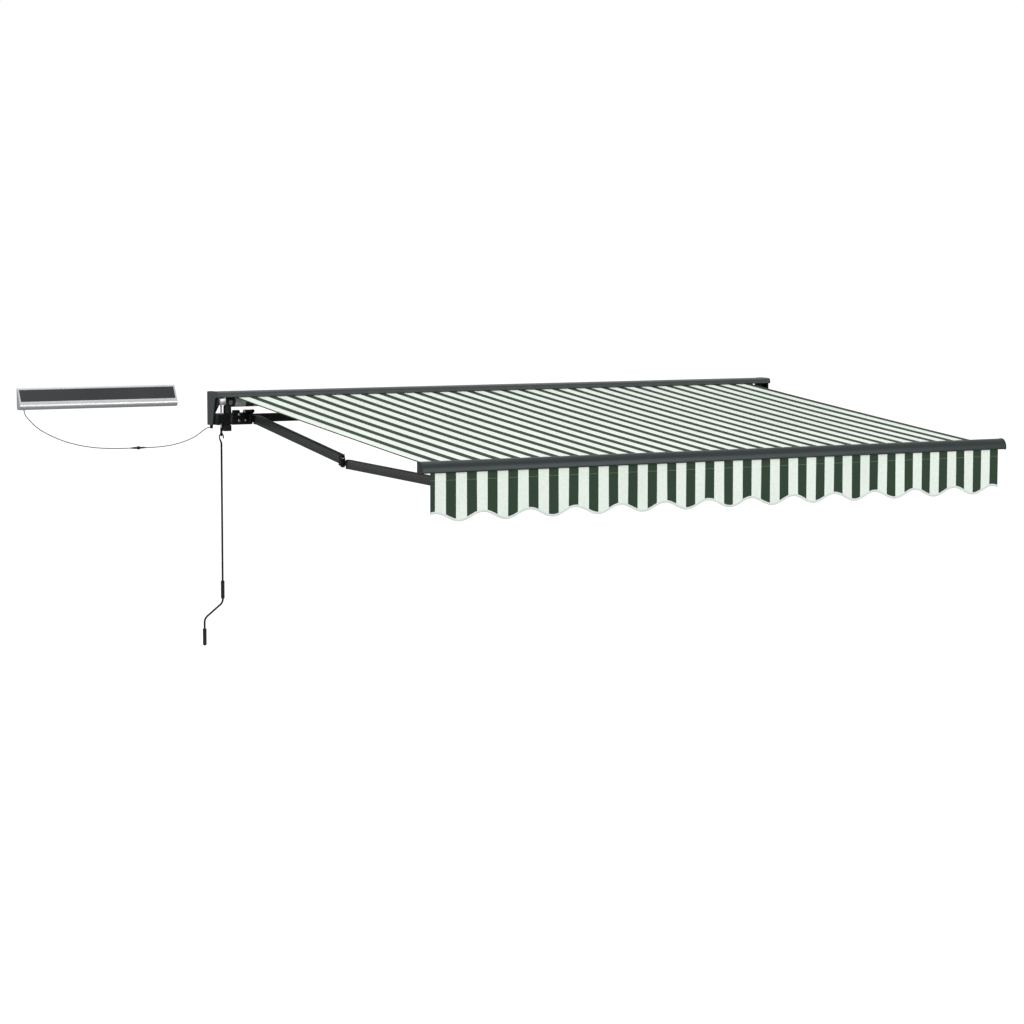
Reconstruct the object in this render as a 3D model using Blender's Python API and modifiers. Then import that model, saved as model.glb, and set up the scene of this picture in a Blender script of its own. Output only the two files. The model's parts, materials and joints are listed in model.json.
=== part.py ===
"""Retractable folding-arm awning with a half cassette, striped canopy, scalloped valance, crank and solar panel.

The wall is the plane y = 0 and the awning reaches out along -Y, with +X to the right and +Z up. The origin is
the middle of the back face of the centre wall bracket. The awning is modelled fully extended.
"""

import math

import bmesh
import bpy
from mathutils import Matrix, Vector

# Clearances
GAP = 0.0003
PIN_PLAY = 0.0006

# Wall bar, a square steel tube
BAR_SIDE = 0.050
BAR_WALL = 0.003
BAR_STANDOFF = 0.015
BAR_HALF_LENGTH = 1.868
BAR_CAP = 0.004

# Hood
HOOD_HALF_LENGTH = 2.000
HOOD_DEPTH = 0.158
HOOD_TOP = 0.163
HOOD_CROWN = 0.004
HOOD_SHEET = 0.0025
LIP_BOTTOM = 0.1335
LIP_RETURN = 0.006
BACK_FLANGE = 0.040
END_COVER = 0.008
END_FOOT_DEPTH = 0.076
END_FOOT_Z = -0.036

# Side wall brackets
SIDE_PLATE = 0.007
BLOCK_WIDTH = 0.086
BLOCK_DEPTH = 0.138
BLOCK_HALF_HEIGHT = 0.033
GUSSET_REACH = 0.150

# Roller and cloth roll
ROLLER_Y = -0.080
ROLLER_Z = 0.1045
ROLLER_RADIUS = 0.027
ROLLER_WALL = 0.0015
ROLLER_LEFT = -1.905
ROLLER_RIGHT = 1.900
ROLL_RADIUS = 0.0335

# Canopy cloth and its stripes
CLOTH_LEFT = -1.879
CLOTH_RIGHT = 1.847
CLOTH_THICKNESS = 0.002
STRIPE_PERIOD = 0.1237
STRIPE_WHITE = 0.0749
FIRST_WHITE = -1.8666

# Front bar
FRONT_LEFT = -1.904
FRONT_RIGHT = 2.040
FRONT_BACK_Y = -2.452
FRONT_DEPTH = 0.062
FRONT_TOP = -0.112
FRONT_HEIGHT = 0.062
FRONT_WALL = 0.003
FRONT_CAP = 0.006
SLOT_LIP = 0.002
CLOTH_SLOT_HEIGHT = 0.006
CLOTH_SLOT_MOUTH = 0.0032
CLOTH_SLOT_DEPTH = 0.010
VALANCE_SLOT_HALF = 0.0025
VALANCE_SLOT_MOUTH = 0.0013
VALANCE_SLOT_DEPTH = 0.008

# Valance
VALANCE_Y = -2.503
VALANCE_LEFT = -1.853
VALANCE_RIGHT = 1.987
VALANCE_THICKNESS = 0.002
VALANCE_LOW_Z = -0.434
VALANCE_WAVE = 0.0225
VALANCE_FIRST_LOW = -1.677
VALANCE_WAVE_LENGTH = 0.2898
VALANCE_PERIOD = 0.1270
VALANCE_WHITE = 0.067
VALANCE_FIRST_WHITE = -1.825
BINDING_HEIGHT = 0.014

# Folding arms: the hinge axes stand square to the plane of the arms, which falls towards the front
ARM_SLOPE = math.radians(6.12)
SHOULDER_X = 1.770
SHOULDER_Y = -0.120
SHOULDER_Z = 0.003
WRIST_Y = -2.458
REST_BEND = math.radians(1.2)
ARM_OFFSET = 0.021
INNER_WIDTH, INNER_HEIGHT = 0.038, 0.054
OUTER_WIDTH, OUTER_HEIGHT = 0.038, 0.052
ARM_WALL = 0.003
INNER_ELBOW_DROP = 0.064
OUTER_ELBOW_DROP = 0.080
WRIST_RISE = 0.017
KNUCKLE_LENGTH = 0.055
BARREL_RADIUS = 0.0135
BARREL_HEIGHT = 0.028
FORK_PLATE = 0.010
PIN_RADIUS = 0.006
SPRING_RADIUS = 0.011
SPRING_PITCH = 0.020
SPRING_LENGTH = 0.46

# Shoulder brackets on the wall bar
CLAMP_OUTER_X = 1.872
CLAMP_INNER_X = 1.745
CLAMP_FRONT_Y = -0.092
CLAMP_TOP, CLAMP_BOTTOM = 0.034, -0.036
PITCH_Y, PITCH_Z = -0.101, 0.044
EAR_RADIUS = 0.011
EAR_WIDTH = 0.008

# Gearbox, crank and its hanging rod
CRANK_X = -1.962
CRANK_Y = -0.118
EYE_Z = -0.086
HOOK_RADIUS = 0.0038
EYE_HOLE = 0.0072
ROD_RADIUS = 0.0062
GRIP_RADIUS = 0.0112
HANDLE_OFFSET = 0.120

# Solar panel
PANEL_LEFT, PANEL_RIGHT = -3.200, -2.216
PANEL_TOP, PANEL_BOTTOM = 0.209, 0.084
PANEL_BACK_Y = -0.006

# Cable from the panel to the awning
CABLE_RADIUS = 0.0025
CABLE_Y = -0.034

SLOPE_FALL = math.tan(ARM_SLOPE)
REACH = (SHOULDER_Y - WRIST_Y) / math.cos(ARM_SLOPE)
ARM_LENGTH = REACH / 2 / math.cos(REST_BEND)

COLOURS = {
    "anthracite": ((0.065, 0.070, 0.073), 0.45, 0.3),
    "black_paint": ((0.012, 0.013, 0.014), 0.5, 0.3),
    "arm_grey": ((0.060, 0.063, 0.064), 0.45, 0.3),
    "zinc": ((0.55, 0.56, 0.57), 0.35, 0.9),
    "steel": ((0.62, 0.62, 0.63), 0.3, 1.0),
    "black_plastic": ((0.015, 0.015, 0.016), 0.55, 0.0),
    "cloth_green": ((0.030, 0.060, 0.042), 0.85, 0.0),
    "cloth_white": ((0.83, 0.87, 0.83), 0.85, 0.0),
    "silver": ((0.75, 0.76, 0.77), 0.35, 0.8),
    "solar_cells": ((0.035, 0.042, 0.048), 0.25, 0.0),
    "grey_cable": ((0.16, 0.16, 0.165), 0.6, 0.0),
}


def clear_scene():
    for found in list(bpy.data.objects):
        bpy.data.objects.remove(found, do_unlink=True)


def new_collection(name, hidden=False):
    made = bpy.data.collections.new(name)
    made.hide_render = hidden
    bpy.context.scene.collection.children.link(made)
    return made


def material(name):
    made = bpy.data.materials.get(name)
    if made:
        return made
    colour, roughness, metallic = COLOURS[name]
    made = bpy.data.materials.new(name)
    made.use_nodes = True
    shader = made.node_tree.nodes["Principled BSDF"]
    shader.inputs["Base Color"].default_value = (*colour, 1.0)
    shader.inputs["Roughness"].default_value = roughness
    shader.inputs["Metallic"].default_value = metallic
    made.diffuse_color = (*colour, 1.0)
    return made


def part(name, mesh, finish, parent=None, smooth=None):
    """A named sub-part with one finish, hung on its parent empty where it has one."""
    made = bpy.data.objects.new(name, mesh)
    AWNING.objects.link(made)
    if finish:
        mesh.materials.append(material(finish))
    made.parent = parent
    if smooth:
        mesh.shade_smooth()
        mesh.set_sharp_from_angle(angle=math.radians(smooth))
    return made


def helper(made):
    """Turns a part into a cutter or a joining shape that isn't shown."""
    AWNING.objects.unlink(made)
    HELPERS.objects.link(made)
    made.hide_render = True
    made.display_type = "WIRE"
    return made


def boolean(target, other, operation):
    helper(other)
    change = target.modifiers.new(operation.lower(), "BOOLEAN")
    change.operation = operation
    change.object = other
    change.solver = "EXACT"


def join(target, *others):
    for other in others:
        boolean(target, other, "UNION")
    return target


def cut(target, *others):
    for other in others:
        boolean(target, other, "DIFFERENCE")
    return target


def empty(name, location, rotation=(0.0, 0.0, 0.0), parent=None):
    made = bpy.data.objects.new(name, None)
    AWNING.objects.link(made)
    made.location = location
    made.rotation_euler = rotation
    made.parent = parent
    return made


def block(name, low, high, finish, parent=None, bevel=0.0, segments=1):
    """A box between two corners, with its edges rounded by the bevel's width."""
    low, high = Vector(low), Vector(high)
    mesh = bpy.data.meshes.new(name)
    shape = bmesh.new()
    bmesh.ops.create_cube(shape, size=1.0)
    bmesh.ops.scale(shape, vec=high - low, verts=shape.verts)
    shape.to_mesh(mesh)
    shape.free()
    made = part(name, mesh, finish, parent)
    made.location = (low + high) / 2
    if bevel:
        rounding = made.modifiers.new("rounded edges", "BEVEL")
        rounding.width = bevel
        rounding.segments = segments
        rounding.limit_method = "ANGLE"
    return made


def cylinder(name, radius, start, end, finish, parent=None, sides=16):
    start, end = Vector(start), Vector(end)
    mesh = bpy.data.meshes.new(name)
    shape = bmesh.new()
    bmesh.ops.create_cone(
        shape, cap_ends=True, segments=sides, radius1=radius, radius2=radius, depth=(end - start).length
    )
    shape.to_mesh(mesh)
    shape.free()
    made = part(name, mesh, finish, parent, smooth=40)
    made.location = (start + end) / 2
    made.rotation_euler = (end - start).to_track_quat("Z", "Y").to_euler()
    return made


AXES = {
    "X": Matrix(((0, 0, 1, 0), (1, 0, 0, 0), (0, 1, 0, 0), (0, 0, 0, 1))),
    "Y": Matrix(((1, 0, 0, 0), (0, 0, -1, 0), (0, 1, 0, 0), (0, 0, 0, 1))),
    "Z": Matrix.Identity(4),
}


def prism(name, axis, start, end, loops, finish, parent=None, smooth=None):
    """A flat outline, with holes where more than one loop is given, extruded along an axis from start to end."""
    curve = bpy.data.curves.new(name + " outline", "CURVE")
    curve.dimensions = "2D"
    curve.fill_mode = "BOTH"
    curve.extrude = abs(end - start) / 2
    for loop in loops:
        spline = curve.splines.new("POLY")
        spline.points.add(len(loop) - 1)
        for point, (across, up) in zip(spline.points, loop):
            point.co = (across, up, 0.0, 1.0)
        spline.use_cyclic_u = True
    outline = bpy.data.objects.new(name + " outline", curve)
    HELPERS.objects.link(outline)
    bpy.context.view_layer.update()
    graph = bpy.context.evaluated_depsgraph_get()
    mesh = bpy.data.meshes.new_from_object(outline.evaluated_get(graph))
    bpy.data.objects.remove(outline, do_unlink=True)
    bpy.data.curves.remove(curve)
    mesh.name = name
    mesh.materials.clear()
    middle = (start + end) / 2
    mesh.transform(AXES[axis] @ Matrix.Translation((0, 0, -middle if axis == "Y" else middle)))
    shape = bmesh.new()
    shape.from_mesh(mesh)
    bmesh.ops.remove_doubles(shape, verts=shape.verts, dist=1e-5)
    bmesh.ops.recalc_face_normals(shape, faces=shape.faces)
    shape.to_mesh(mesh)
    shape.free()
    return part(name, mesh, finish, parent, smooth)


def turned(name, profile, start, direction, finish, parent=None, sides=16):
    """A profile of (radius, distance) points, listed from the far end back, turned round a line through start."""
    mesh = bpy.data.meshes.new(name)
    mesh.from_pydata([(r, 0.0, d) for r, d in profile], [(i, i + 1) for i in range(len(profile) - 1)], [])
    made = part(name, mesh, finish, parent)
    made.location = start
    made.rotation_euler = Vector(direction).to_track_quat("Z", "Y").to_euler()
    screw = made.modifiers.new("turn", "SCREW")
    screw.steps = screw.render_steps = sides
    screw.use_merge_vertices = True
    screw.merge_threshold = 1e-5
    screw.use_smooth_shade = True
    return made


def wire(name, points, radius, finish, parent=None, thickness=None, ring=2):
    """A round bar or cable along the points, with an own share of the radius at each point where given."""
    curve = bpy.data.curves.new(name, "CURVE")
    curve.dimensions = "3D"
    curve.bevel_depth = radius
    curve.bevel_resolution = ring
    curve.use_fill_caps = True
    spline = curve.splines.new("POLY")
    spline.points.add(len(points) - 1)
    for index, place in enumerate(points):
        spline.points[index].co = (*place, 1.0)
        if thickness:
            spline.points[index].radius = thickness[index]
    made = bpy.data.objects.new(name, curve)
    AWNING.objects.link(made)
    curve.materials.append(material(finish))
    made.parent = parent
    return made


def arc(centre, radii, start, end, steps):
    """Points on an ellipse's arc, between two angles in degrees."""
    turn = [math.radians(start + (end - start) * i / steps) for i in range(steps + 1)]
    return [(centre[0] + radii[0] * math.cos(a), centre[1] + radii[1] * math.sin(a)) for a in turn]


def rounded_box(middle, width, height, radius, steps=2):
    """The outline of a rectangle with rounded corners."""
    points = []
    corners = ((1, 1, 0), (-1, 1, 90), (-1, -1, 180), (1, -1, 270))
    for side, level, turn in corners:
        centre = (middle[0] + side * (width / 2 - radius), middle[1] + level * (height / 2 - radius))
        points += arc(centre, (radius, radius), turn, turn + 90, steps)
    return points


def smooth_route(points, spacing):
    """A Catmull-Rom curve through the points, read at even steps of each span."""
    ends = [points[0] * 2 - points[1]] + points + [points[-1] * 2 - points[-2]]
    route = []
    for before, first, second, after in zip(ends, ends[1:], ends[2:], ends[3:]):
        steps = max(1, round((second - first).length / spacing))
        for step in range(steps):
            t = step / steps
            route.append(
                0.5
                * (
                    2 * first
                    + (second - before) * t
                    + (2 * before - 5 * first + 4 * second - after) * t**2
                    + (3 * first - before - 3 * second + after) * t**3
                )
            )
    return route + [points[-1]]


def fabric_height(y):
    """The height of the cloth's middle at y, on a straight line from the roll to the front bar's slot."""
    top = ROLLER_Z + ROLL_RADIUS + CLOTH_THICKNESS / 2 + GAP
    front = FRONT_TOP - 0.0085
    return top + (front - top) * (y - ROLLER_Y) / (FRONT_BACK_Y - ROLLER_Y)


# Wall bar and its brackets


def wall_bar():
    middle = (-BAR_STANDOFF - BAR_SIDE / 2, 0.0)
    inside = BAR_SIDE - 2 * BAR_WALL
    outer = rounded_box(middle, BAR_SIDE, BAR_SIDE, 0.004, 1)
    inner = rounded_box(middle, inside, inside, 0.002, 1)
    prism("wall_bar", "X", -BAR_HALF_LENGTH, BAR_HALF_LENGTH, [outer, inner], "black_paint")
    for side, name in ((-1, "left"), (1, "right")):
        start = side * (BAR_HALF_LENGTH + GAP)
        end = start + side * BAR_CAP
        cap = prism("wall_bar_cap_" + name, "X", min(start, end), max(start, end), [outer], "zinc")
        plug_end = side * (BAR_HALF_LENGTH - 0.015)
        low, high = sorted((start + side * BAR_CAP / 2, plug_end))
        room = inside - 2 * GAP
        join(cap, prism("wall bar plug " + name, "X", low, high, [rounded_box(middle, room, room, 0.003, 1)], None))


def bar_clamp(name, low_x, high_x, front_y, back_y=-0.006):
    """A bracket that hooks round the wall bar, open at the back between its two jaws."""
    face = -BAR_STANDOFF - BAR_SIDE - GAP
    inside = BAR_SIDE / 2 + GAP
    outline = [
        (front_y, CLAMP_BOTTOM + 0.006),
        (front_y + 0.006, CLAMP_BOTTOM),
        (back_y, CLAMP_BOTTOM),
        (back_y, -inside),
        (face, -inside),
        (face, inside),
        (back_y, inside),
        (back_y, CLAMP_TOP),
        (front_y + 0.006, CLAMP_TOP),
        (front_y, CLAMP_TOP - 0.006),
    ]
    return prism(name, "X", low_x, high_x, [outline], "black_paint")


def centre_bracket():
    """The wall plate with its two jaws round the bar, and the arm that carries the hood's back."""
    half = 0.060
    back = -BAR_STANDOFF + GAP
    inside = BAR_SIDE / 2 + GAP
    face = -BAR_STANDOFF - BAR_SIDE - GAP
    plate = block(
        "wall_bracket_centre", (-half, -BAR_STANDOFF + GAP, -0.062), (half, 0.0, 0.070), "black_paint", bevel=0.002
    )
    top = block(
        "upper jaw", (-half + 0.01, face - 0.007, inside), (half - 0.01, -0.004, inside + 0.008), "black_paint"
    )
    lip = block(
        "upper jaw lip", (-half + 0.01, face - 0.007, 0.006), (half - 0.01, face, inside + 0.004), "black_paint"
    )
    lower = block(
        "lower jaw", (-half + 0.01, face - 0.007, -inside - 0.008), (half - 0.01, -0.004, -inside), "black_paint"
    )
    lower_lip = block(
        "lower jaw lip", (-half + 0.01, face - 0.007, -inside - 0.004), (half - 0.01, face, -0.006), "black_paint"
    )
    low, high = (-0.020, -BAR_STANDOFF + GAP, 0.060), (0.020, -HOOD_SHEET - 2 * GAP, HOOD_TOP - 0.012)
    hood_arm = block("hood arm", low, high, "black_paint")
    join(plate, top, lip, lower, lower_lip, hood_arm)
    for side in (-1, 1):
        for level in (-0.048, 0.052):
            place = side * 0.042
            cut(
                plate,
                cylinder("wall bolt hole", 0.0055, (place, 0.01, level), (place, -0.03, level), None, sides=12),
            )


def side_bracket(side, name):
    """The end bracket: a gusseted side plate from the hood to the bar, and the block that the crank shaft passes."""
    outer = HOOD_HALF_LENGTH - END_COVER - GAP
    inner = outer - SIDE_PLATE
    top = HOOD_TOP - HOOD_SHEET - 0.004
    behind = -HOOD_SHEET - 3 * GAP
    web = [
        (-GAP, -BLOCK_HALF_HEIGHT + 0.0005),
        (-GAP, HOOD_TOP - BACK_FLANGE - GAP),
        (behind, HOOD_TOP - BACK_FLANGE - GAP),
        (behind, top - 0.007),
        (-0.012, top),
        (-GUSSET_REACH, top),
        (-GUSSET_REACH, 0.094),
        (-0.088, 0.038),
        (-0.088, -BLOCK_HALF_HEIGHT + 0.0005),
    ]
    low, high = sorted((side * inner, side * outer))
    bracket = prism("side_bracket_" + name, "X", low, high, [web], "black_paint")
    low, high = sorted((side * (outer - 0.001), side * (outer - BLOCK_WIDTH)))
    body = block(
        "block " + name,
        (low, -BLOCK_DEPTH, -BLOCK_HALF_HEIGHT),
        (high, 0.0, BLOCK_HALF_HEIGHT),
        "black_paint",
        bevel=0.004,
        segments=2,
    )
    join(bracket, body)
    arch = cylinder(
        "arch " + name,
        0.014,
        (side * (outer - 0.024), -BLOCK_DEPTH - 0.01, -BLOCK_HALF_HEIGHT - 0.004),
        (side * (outer - 0.024), -0.095, -BLOCK_HALF_HEIGHT - 0.004),
        None,
    )
    shaft = cylinder(
        "shaft hole " + name, 0.0075, (side * -CRANK_X, CRANK_Y, -0.05), (side * -CRANK_X, CRANK_Y, 0.05), None
    )
    ends = sorted((side * (outer - 0.012), side * (outer - BLOCK_WIDTH - 0.01)))
    pocket = block(
        "pocket " + name,
        (ends[0], -0.094, -BLOCK_HALF_HEIGHT + 0.006),
        (ends[1], -0.010, BLOCK_HALF_HEIGHT - 0.006),
        None,
        bevel=0.003,
    )
    cut(bracket, arch, shaft, pocket)
    for level in (-0.018, 0.018):
        place = side * (outer - 0.062)
        cut(bracket, cylinder("wall bolt hole", 0.0055, (place, 0.01, level), (place, -0.02, level), None, sides=12))
    return bracket


# Hood


def hood_outline(sheet):
    """The hood's section in y and z: back flange, slightly crowned roof and front lip."""
    front = -HOOD_DEPTH
    crown = [
        (-0.012 - (HOOD_DEPTH - 0.024) * t, HOOD_TOP + HOOD_CROWN * math.sin(math.pi * t))
        for t in (0.0, 0.25, 0.5, 0.75, 1.0)
    ]
    outer = [(-GAP, HOOD_TOP - BACK_FLANGE), (-GAP, HOOD_TOP - 0.008), (-0.004, HOOD_TOP - 0.002)]
    outer += crown + [(front + 0.003, HOOD_TOP - 0.004), (front, HOOD_TOP - 0.011), (front, LIP_BOTTOM)]
    inner = [(front + LIP_RETURN, LIP_BOTTOM), (front + LIP_RETURN, LIP_BOTTOM + 0.002)]
    inner += [(front + sheet, LIP_BOTTOM + 0.002)]
    inner += [(front + sheet, HOOD_TOP - 0.012), (front + 0.005, HOOD_TOP - 0.004 - sheet)]
    inner += [(y, z - sheet) for y, z in reversed(crown)]
    inner += [(-0.004 - sheet / 2, HOOD_TOP - 0.003 - sheet), (-GAP - sheet, HOOD_TOP - 0.010)]
    inner += [(-GAP - sheet, HOOD_TOP - BACK_FLANGE)]
    return outer + inner


def hood():
    inside = HOOD_HALF_LENGTH - END_COVER - GAP
    prism("hood", "X", -inside, inside, [hood_outline(HOOD_SHEET)], "anthracite", smooth=35)
    front = -HOOD_DEPTH
    cover = [(-GAP, END_FOOT_Z + 0.004), (-GAP, HOOD_TOP - 0.004), (-0.005, HOOD_TOP + 0.002)]
    cover += [(-0.050, HOOD_TOP + 0.005), (-0.110, HOOD_TOP + 0.005), (front + 0.006, HOOD_TOP + 0.001)]
    cover += [(front - 0.001, HOOD_TOP - 0.008), (front - 0.001, LIP_BOTTOM - 0.002)]
    cover += [(front + 0.030, LIP_BOTTOM - 0.004), (-0.112, LIP_BOTTOM - 0.008)]
    cover += [(-END_FOOT_DEPTH, END_FOOT_Z + 0.006), (-END_FOOT_DEPTH + 0.006, END_FOOT_Z)]
    cover += [(-0.004, END_FOOT_Z)]
    for side, name in ((-1, "left"), (1, "right")):
        low, high = sorted((side * (HOOD_HALF_LENGTH - END_COVER), side * HOOD_HALF_LENGTH))
        prism("hood_end_" + name, "X", low, high, [cover], "anthracite")


# Roller


def roller():
    """The roller tube with its end plugs, and the turns of cloth that stay on it."""
    axis = empty("roller_axis", (0.0, ROLLER_Y, ROLLER_Z))
    ring = arc((0.0, 0.0), (ROLLER_RADIUS, ROLLER_RADIUS), 0, 345, 23)
    bore = ROLLER_RADIUS - ROLLER_WALL
    hollow = arc((0.0, 0.0), (bore, bore), 0, 345, 23)
    prism("roller_tube", "X", ROLLER_LEFT, ROLLER_RIGHT, [ring, hollow], "zinc", axis, smooth=40)
    outer = arc((0.0, 0.0), (ROLL_RADIUS, ROLL_RADIUS), 0, 345, 23)
    seat = ROLLER_RADIUS + 2 * GAP
    seat_ring = arc((0.0, 0.0), (seat, seat), 0, 345, 23)
    prism("cloth_roll", "X", CLOTH_LEFT, CLOTH_RIGHT, [outer, seat_ring], "cloth_white", axis, smooth=40)
    room = bore - 2 * GAP
    plug = [(0.0, 0.047), (0.008, 0.047), (0.008, 0.004), (ROLLER_RADIUS, 0.004), (ROLLER_RADIUS, GAP)]
    plug += [(room, GAP), (room, -0.025), (0.0, -0.025)]
    turned("roller_plug_left", plug, (ROLLER_LEFT, 0.0, 0.0), (-1, 0, 0), "black_plastic", axis)
    plug = [(0.0, 0.0838), (0.006, 0.0838), (0.006, 0.004), (ROLLER_RADIUS, 0.004), (ROLLER_RADIUS, GAP)]
    plug += [(room, GAP), (room, -0.025), (0.0, -0.025)]
    turned("roller_plug_right", plug, (ROLLER_RIGHT, 0.0, 0.0), (1, 0, 0), "black_plastic", axis)


# Gearbox and crank


def gearbox():
    """The geared drive at the roller's left end with its cover and control box, and the right end's bearing."""
    outer = -(HOOD_HALF_LENGTH - END_COVER - GAP - SIDE_PLATE - GAP)
    case = block(
        "gearbox", (outer, CRANK_Y - 0.017, 0.086), (-1.936, -0.058, 0.128), "zinc", bevel=0.004, segments=2
    )
    cut(case, cylinder("stub bore", 0.0092, (-1.954, ROLLER_Y, ROLLER_Z), (-1.90, ROLLER_Y, ROLLER_Z), None))
    cut(case, cylinder("shaft bore", 0.0062, (CRANK_X, CRANK_Y, 0.04), (CRANK_X, CRANK_Y, 0.110), None))
    profile = [(0.0, 0.092), (0.0050, 0.092), (0.0050, 0.0535), (0.018, 0.0515), (0.0235, 0.0455)]
    profile += [(0.0240, 0.006), (0.0215, 0.0), (0.0, 0.0)]
    foot = (-1.9205, -0.1145, BLOCK_HALF_HEIGHT + GAP)
    turned("gearbox_cover", profile, foot, (0, 0, 1), "black_plastic", sides=20)
    top = -BLOCK_HALF_HEIGHT - GAP
    block("control_box", (-1.9515, -0.143, top - 0.036), (-1.9055, -0.097, top), "black_plastic", bevel=0.003)
    bearing = block(
        "roller_bearing_right", (1.952, -0.105, 0.082), (-outer, -0.057, 0.128), "black_paint", bevel=0.003
    )
    cut(bearing, cylinder("stub bore", 0.0070, (1.94, ROLLER_Y, ROLLER_Z), (2.0, ROLLER_Y, ROLLER_Z), None))


def crank():
    """The gearbox's input shaft with its eye, and the crank rod that hangs from the eye by its hook."""
    axis = empty("crank_axis", (CRANK_X, CRANK_Y, 0.0))
    cylinder("input_shaft", 0.0055, (0, 0, 0.1095), (0, 0, -0.048), "steel", axis)
    eye = turned(
        "crank_eye",
        [(0.0, -0.0485), (0.0065, -0.0485), (0.0075, -0.052), (0.0065, EYE_Z + 0.010), (0.0, EYE_Z + 0.010)],
        (0, 0, 0),
        (0, 0, 1),
        "black_paint",
        axis,
        12,
    )
    ring = prism(
        "ring",
        "X",
        -0.003,
        0.003,
        [arc((0, EYE_Z), (0.0135, 0.0135), 0, 342, 19), arc((0, EYE_Z), (EYE_HOLE, EYE_HOLE), 0, 342, 19)],
        "black_paint",
        axis,
    )
    join(eye, ring)
    swing = empty("rod_axis", (0, 0, EYE_Z - EYE_HOLE + HOOK_RADIUS + GAP), parent=axis)
    side, drop = 0.0125, 0.030
    shape = [
        (side, -0.024),
        (side, -0.006),
        (side - 0.0035, -0.0012),
        (side - 0.007, 0.0),
        (-side + 0.007, 0.0),
        (-side + 0.0035, -0.0012),
        (-side, -0.006),
        (-side, -0.024),
        (-side + 0.003, -drop),
        (-0.003, -drop - 0.014),
        (0.0, -drop - 0.024),
        (0.0, -0.10),
    ]
    thickness = [HOOK_RADIUS / ROD_RADIUS] * 8 + [0.8, 0.95, 1.0, 1.0]
    grip_top, grip_end = -0.874, -0.982
    handle_top, handle_end = -1.155, -1.254
    shape += [(0.0, grip_end - 0.006), (-0.003, grip_end - 0.020), (-0.014, grip_end - 0.034)]
    shape += [(-HANDLE_OFFSET + 0.014, handle_top + 0.070), (-HANDLE_OFFSET + 0.003, handle_top + 0.055)]
    shape += [(-HANDLE_OFFSET, handle_top + 0.040), (-HANDLE_OFFSET, handle_end - 0.003)]
    thickness += [1.0] * 7
    wire("crank_rod", [(x, 0.0, z) for x, z in shape], ROD_RADIUS, "black_paint", swing, thickness)
    for name, place, high, low in (
        ("upper_grip", 0.0, grip_top, grip_end),
        ("lower_grip", -HANDLE_OFFSET, handle_top, handle_end),
    ):
        bore = ROD_RADIUS + GAP * 2
        profile = [(bore, low), (bore, high), (GRIP_RADIUS - 0.002, high), (GRIP_RADIUS, high - 0.003)]
        profile += [(GRIP_RADIUS, low + 0.003), (GRIP_RADIUS - 0.002, low), (bore, low)]
        turned(name, profile, (place, 0, 0), (0, 0, 1), "black_plastic", swing)


# Folding arms


def knuckle_plan(hand, way, inset=0.0):
    """A knuckle's plan: a barrel round the pin and a neck that widens into the arm's own width."""
    near, far = ARM_OFFSET - INNER_WIDTH / 2 + inset, ARM_OFFSET + INNER_WIDTH / 2 - inset
    reach = BARREL_RADIUS
    start = math.degrees(math.acos(near / reach))
    points = [(near, KNUCKLE_LENGTH - inset)] + arc((0, 0), (reach, reach), start, 360, 12)
    points += [(reach, 0.030), (far, KNUCKLE_LENGTH - inset)]
    return [(hand * w, way * u) for w, u in points]


def knuckle(name, hand, way, level, tube_level, tube_height, forked, tenon, parent):
    """A cast arm end: barrel or fork at the pin, a full-height flange against the tube and a tenon inside it."""
    half = BARREL_HEIGHT / 2
    near, far = ARM_OFFSET - INNER_WIDTH / 2, ARM_OFFSET + INNER_WIDTH / 2
    start = 0.020 if forked else 0.034
    width = BARREL_RADIUS + (far - BARREL_RADIUS) * max(0.0, (start - 0.030) / (KNUCKLE_LENGTH - 0.030))
    flange = [(near, start), (near, KNUCKLE_LENGTH), (far, KNUCKLE_LENGTH)]
    flange += [(BARREL_RADIUS, 0.030), (width, start)] if forked else [(width, start)]
    flange = [(hand * w, way * u) for w, u in flange]
    low, high = tube_level - tube_height / 2, tube_level + tube_height / 2
    if forked:
        low, high = min(low, level - half - GAP - FORK_PLATE), max(high, level + half + GAP + FORK_PLATE)
    body = prism(name, "Z", low, high, [flange], "black_paint", parent)
    plan = knuckle_plan(hand, way, 0.0004)
    if forked:
        bottom = level - half - GAP
        join(body, prism(name + " lower plate", "Z", bottom - FORK_PLATE + 0.0003, bottom, [plan], None, parent))
        bottom = level + half + GAP
        join(body, prism(name + " upper plate", "Z", bottom, bottom + FORK_PLATE - 0.0003, [plan], None, parent))
    else:
        join(body, prism(name + " barrel", "Z", level - half, level + half, [plan], None, parent))
    room = ARM_WALL + GAP * 2
    across = sorted((hand * (near + room), hand * (far - room)))
    along = sorted((way * (KNUCKLE_LENGTH - 0.010), way * (KNUCKLE_LENGTH + tenon)))
    inside = tube_height / 2 - room - 0.0065
    tongue = block(
        name + " tenon",
        (across[0], along[0], tube_level - inside),
        (across[1], along[1], tube_level + inside),
        None,
        parent,
    )
    join(body, tongue)
    return body


def pin_hole(target, level, length, parent):
    """The bore for a pin, with running play."""
    half = length / 2 + 0.004
    cut(target, cylinder("bore", PIN_RADIUS + PIN_PLAY, (0, 0, level - half), (0, 0, level + half), None, parent, 20))


def pin(name, level, length, finish, parent):
    """A headed pin that stands on the hinge's axis."""
    half, head = length / 2 + GAP, 0.003
    profile = [(0.0, half + head), (PIN_RADIUS + 0.002, half + head), (PIN_RADIUS + 0.003, half)]
    profile += [(PIN_RADIUS, half), (PIN_RADIUS, -half), (PIN_RADIUS + 0.003, -half)]
    profile += [(PIN_RADIUS + 0.002, -half - head), (0.0, -half - head)]
    return turned(name, profile, (0, 0, level), (0, 0, 1), finish, parent, 12)


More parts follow.
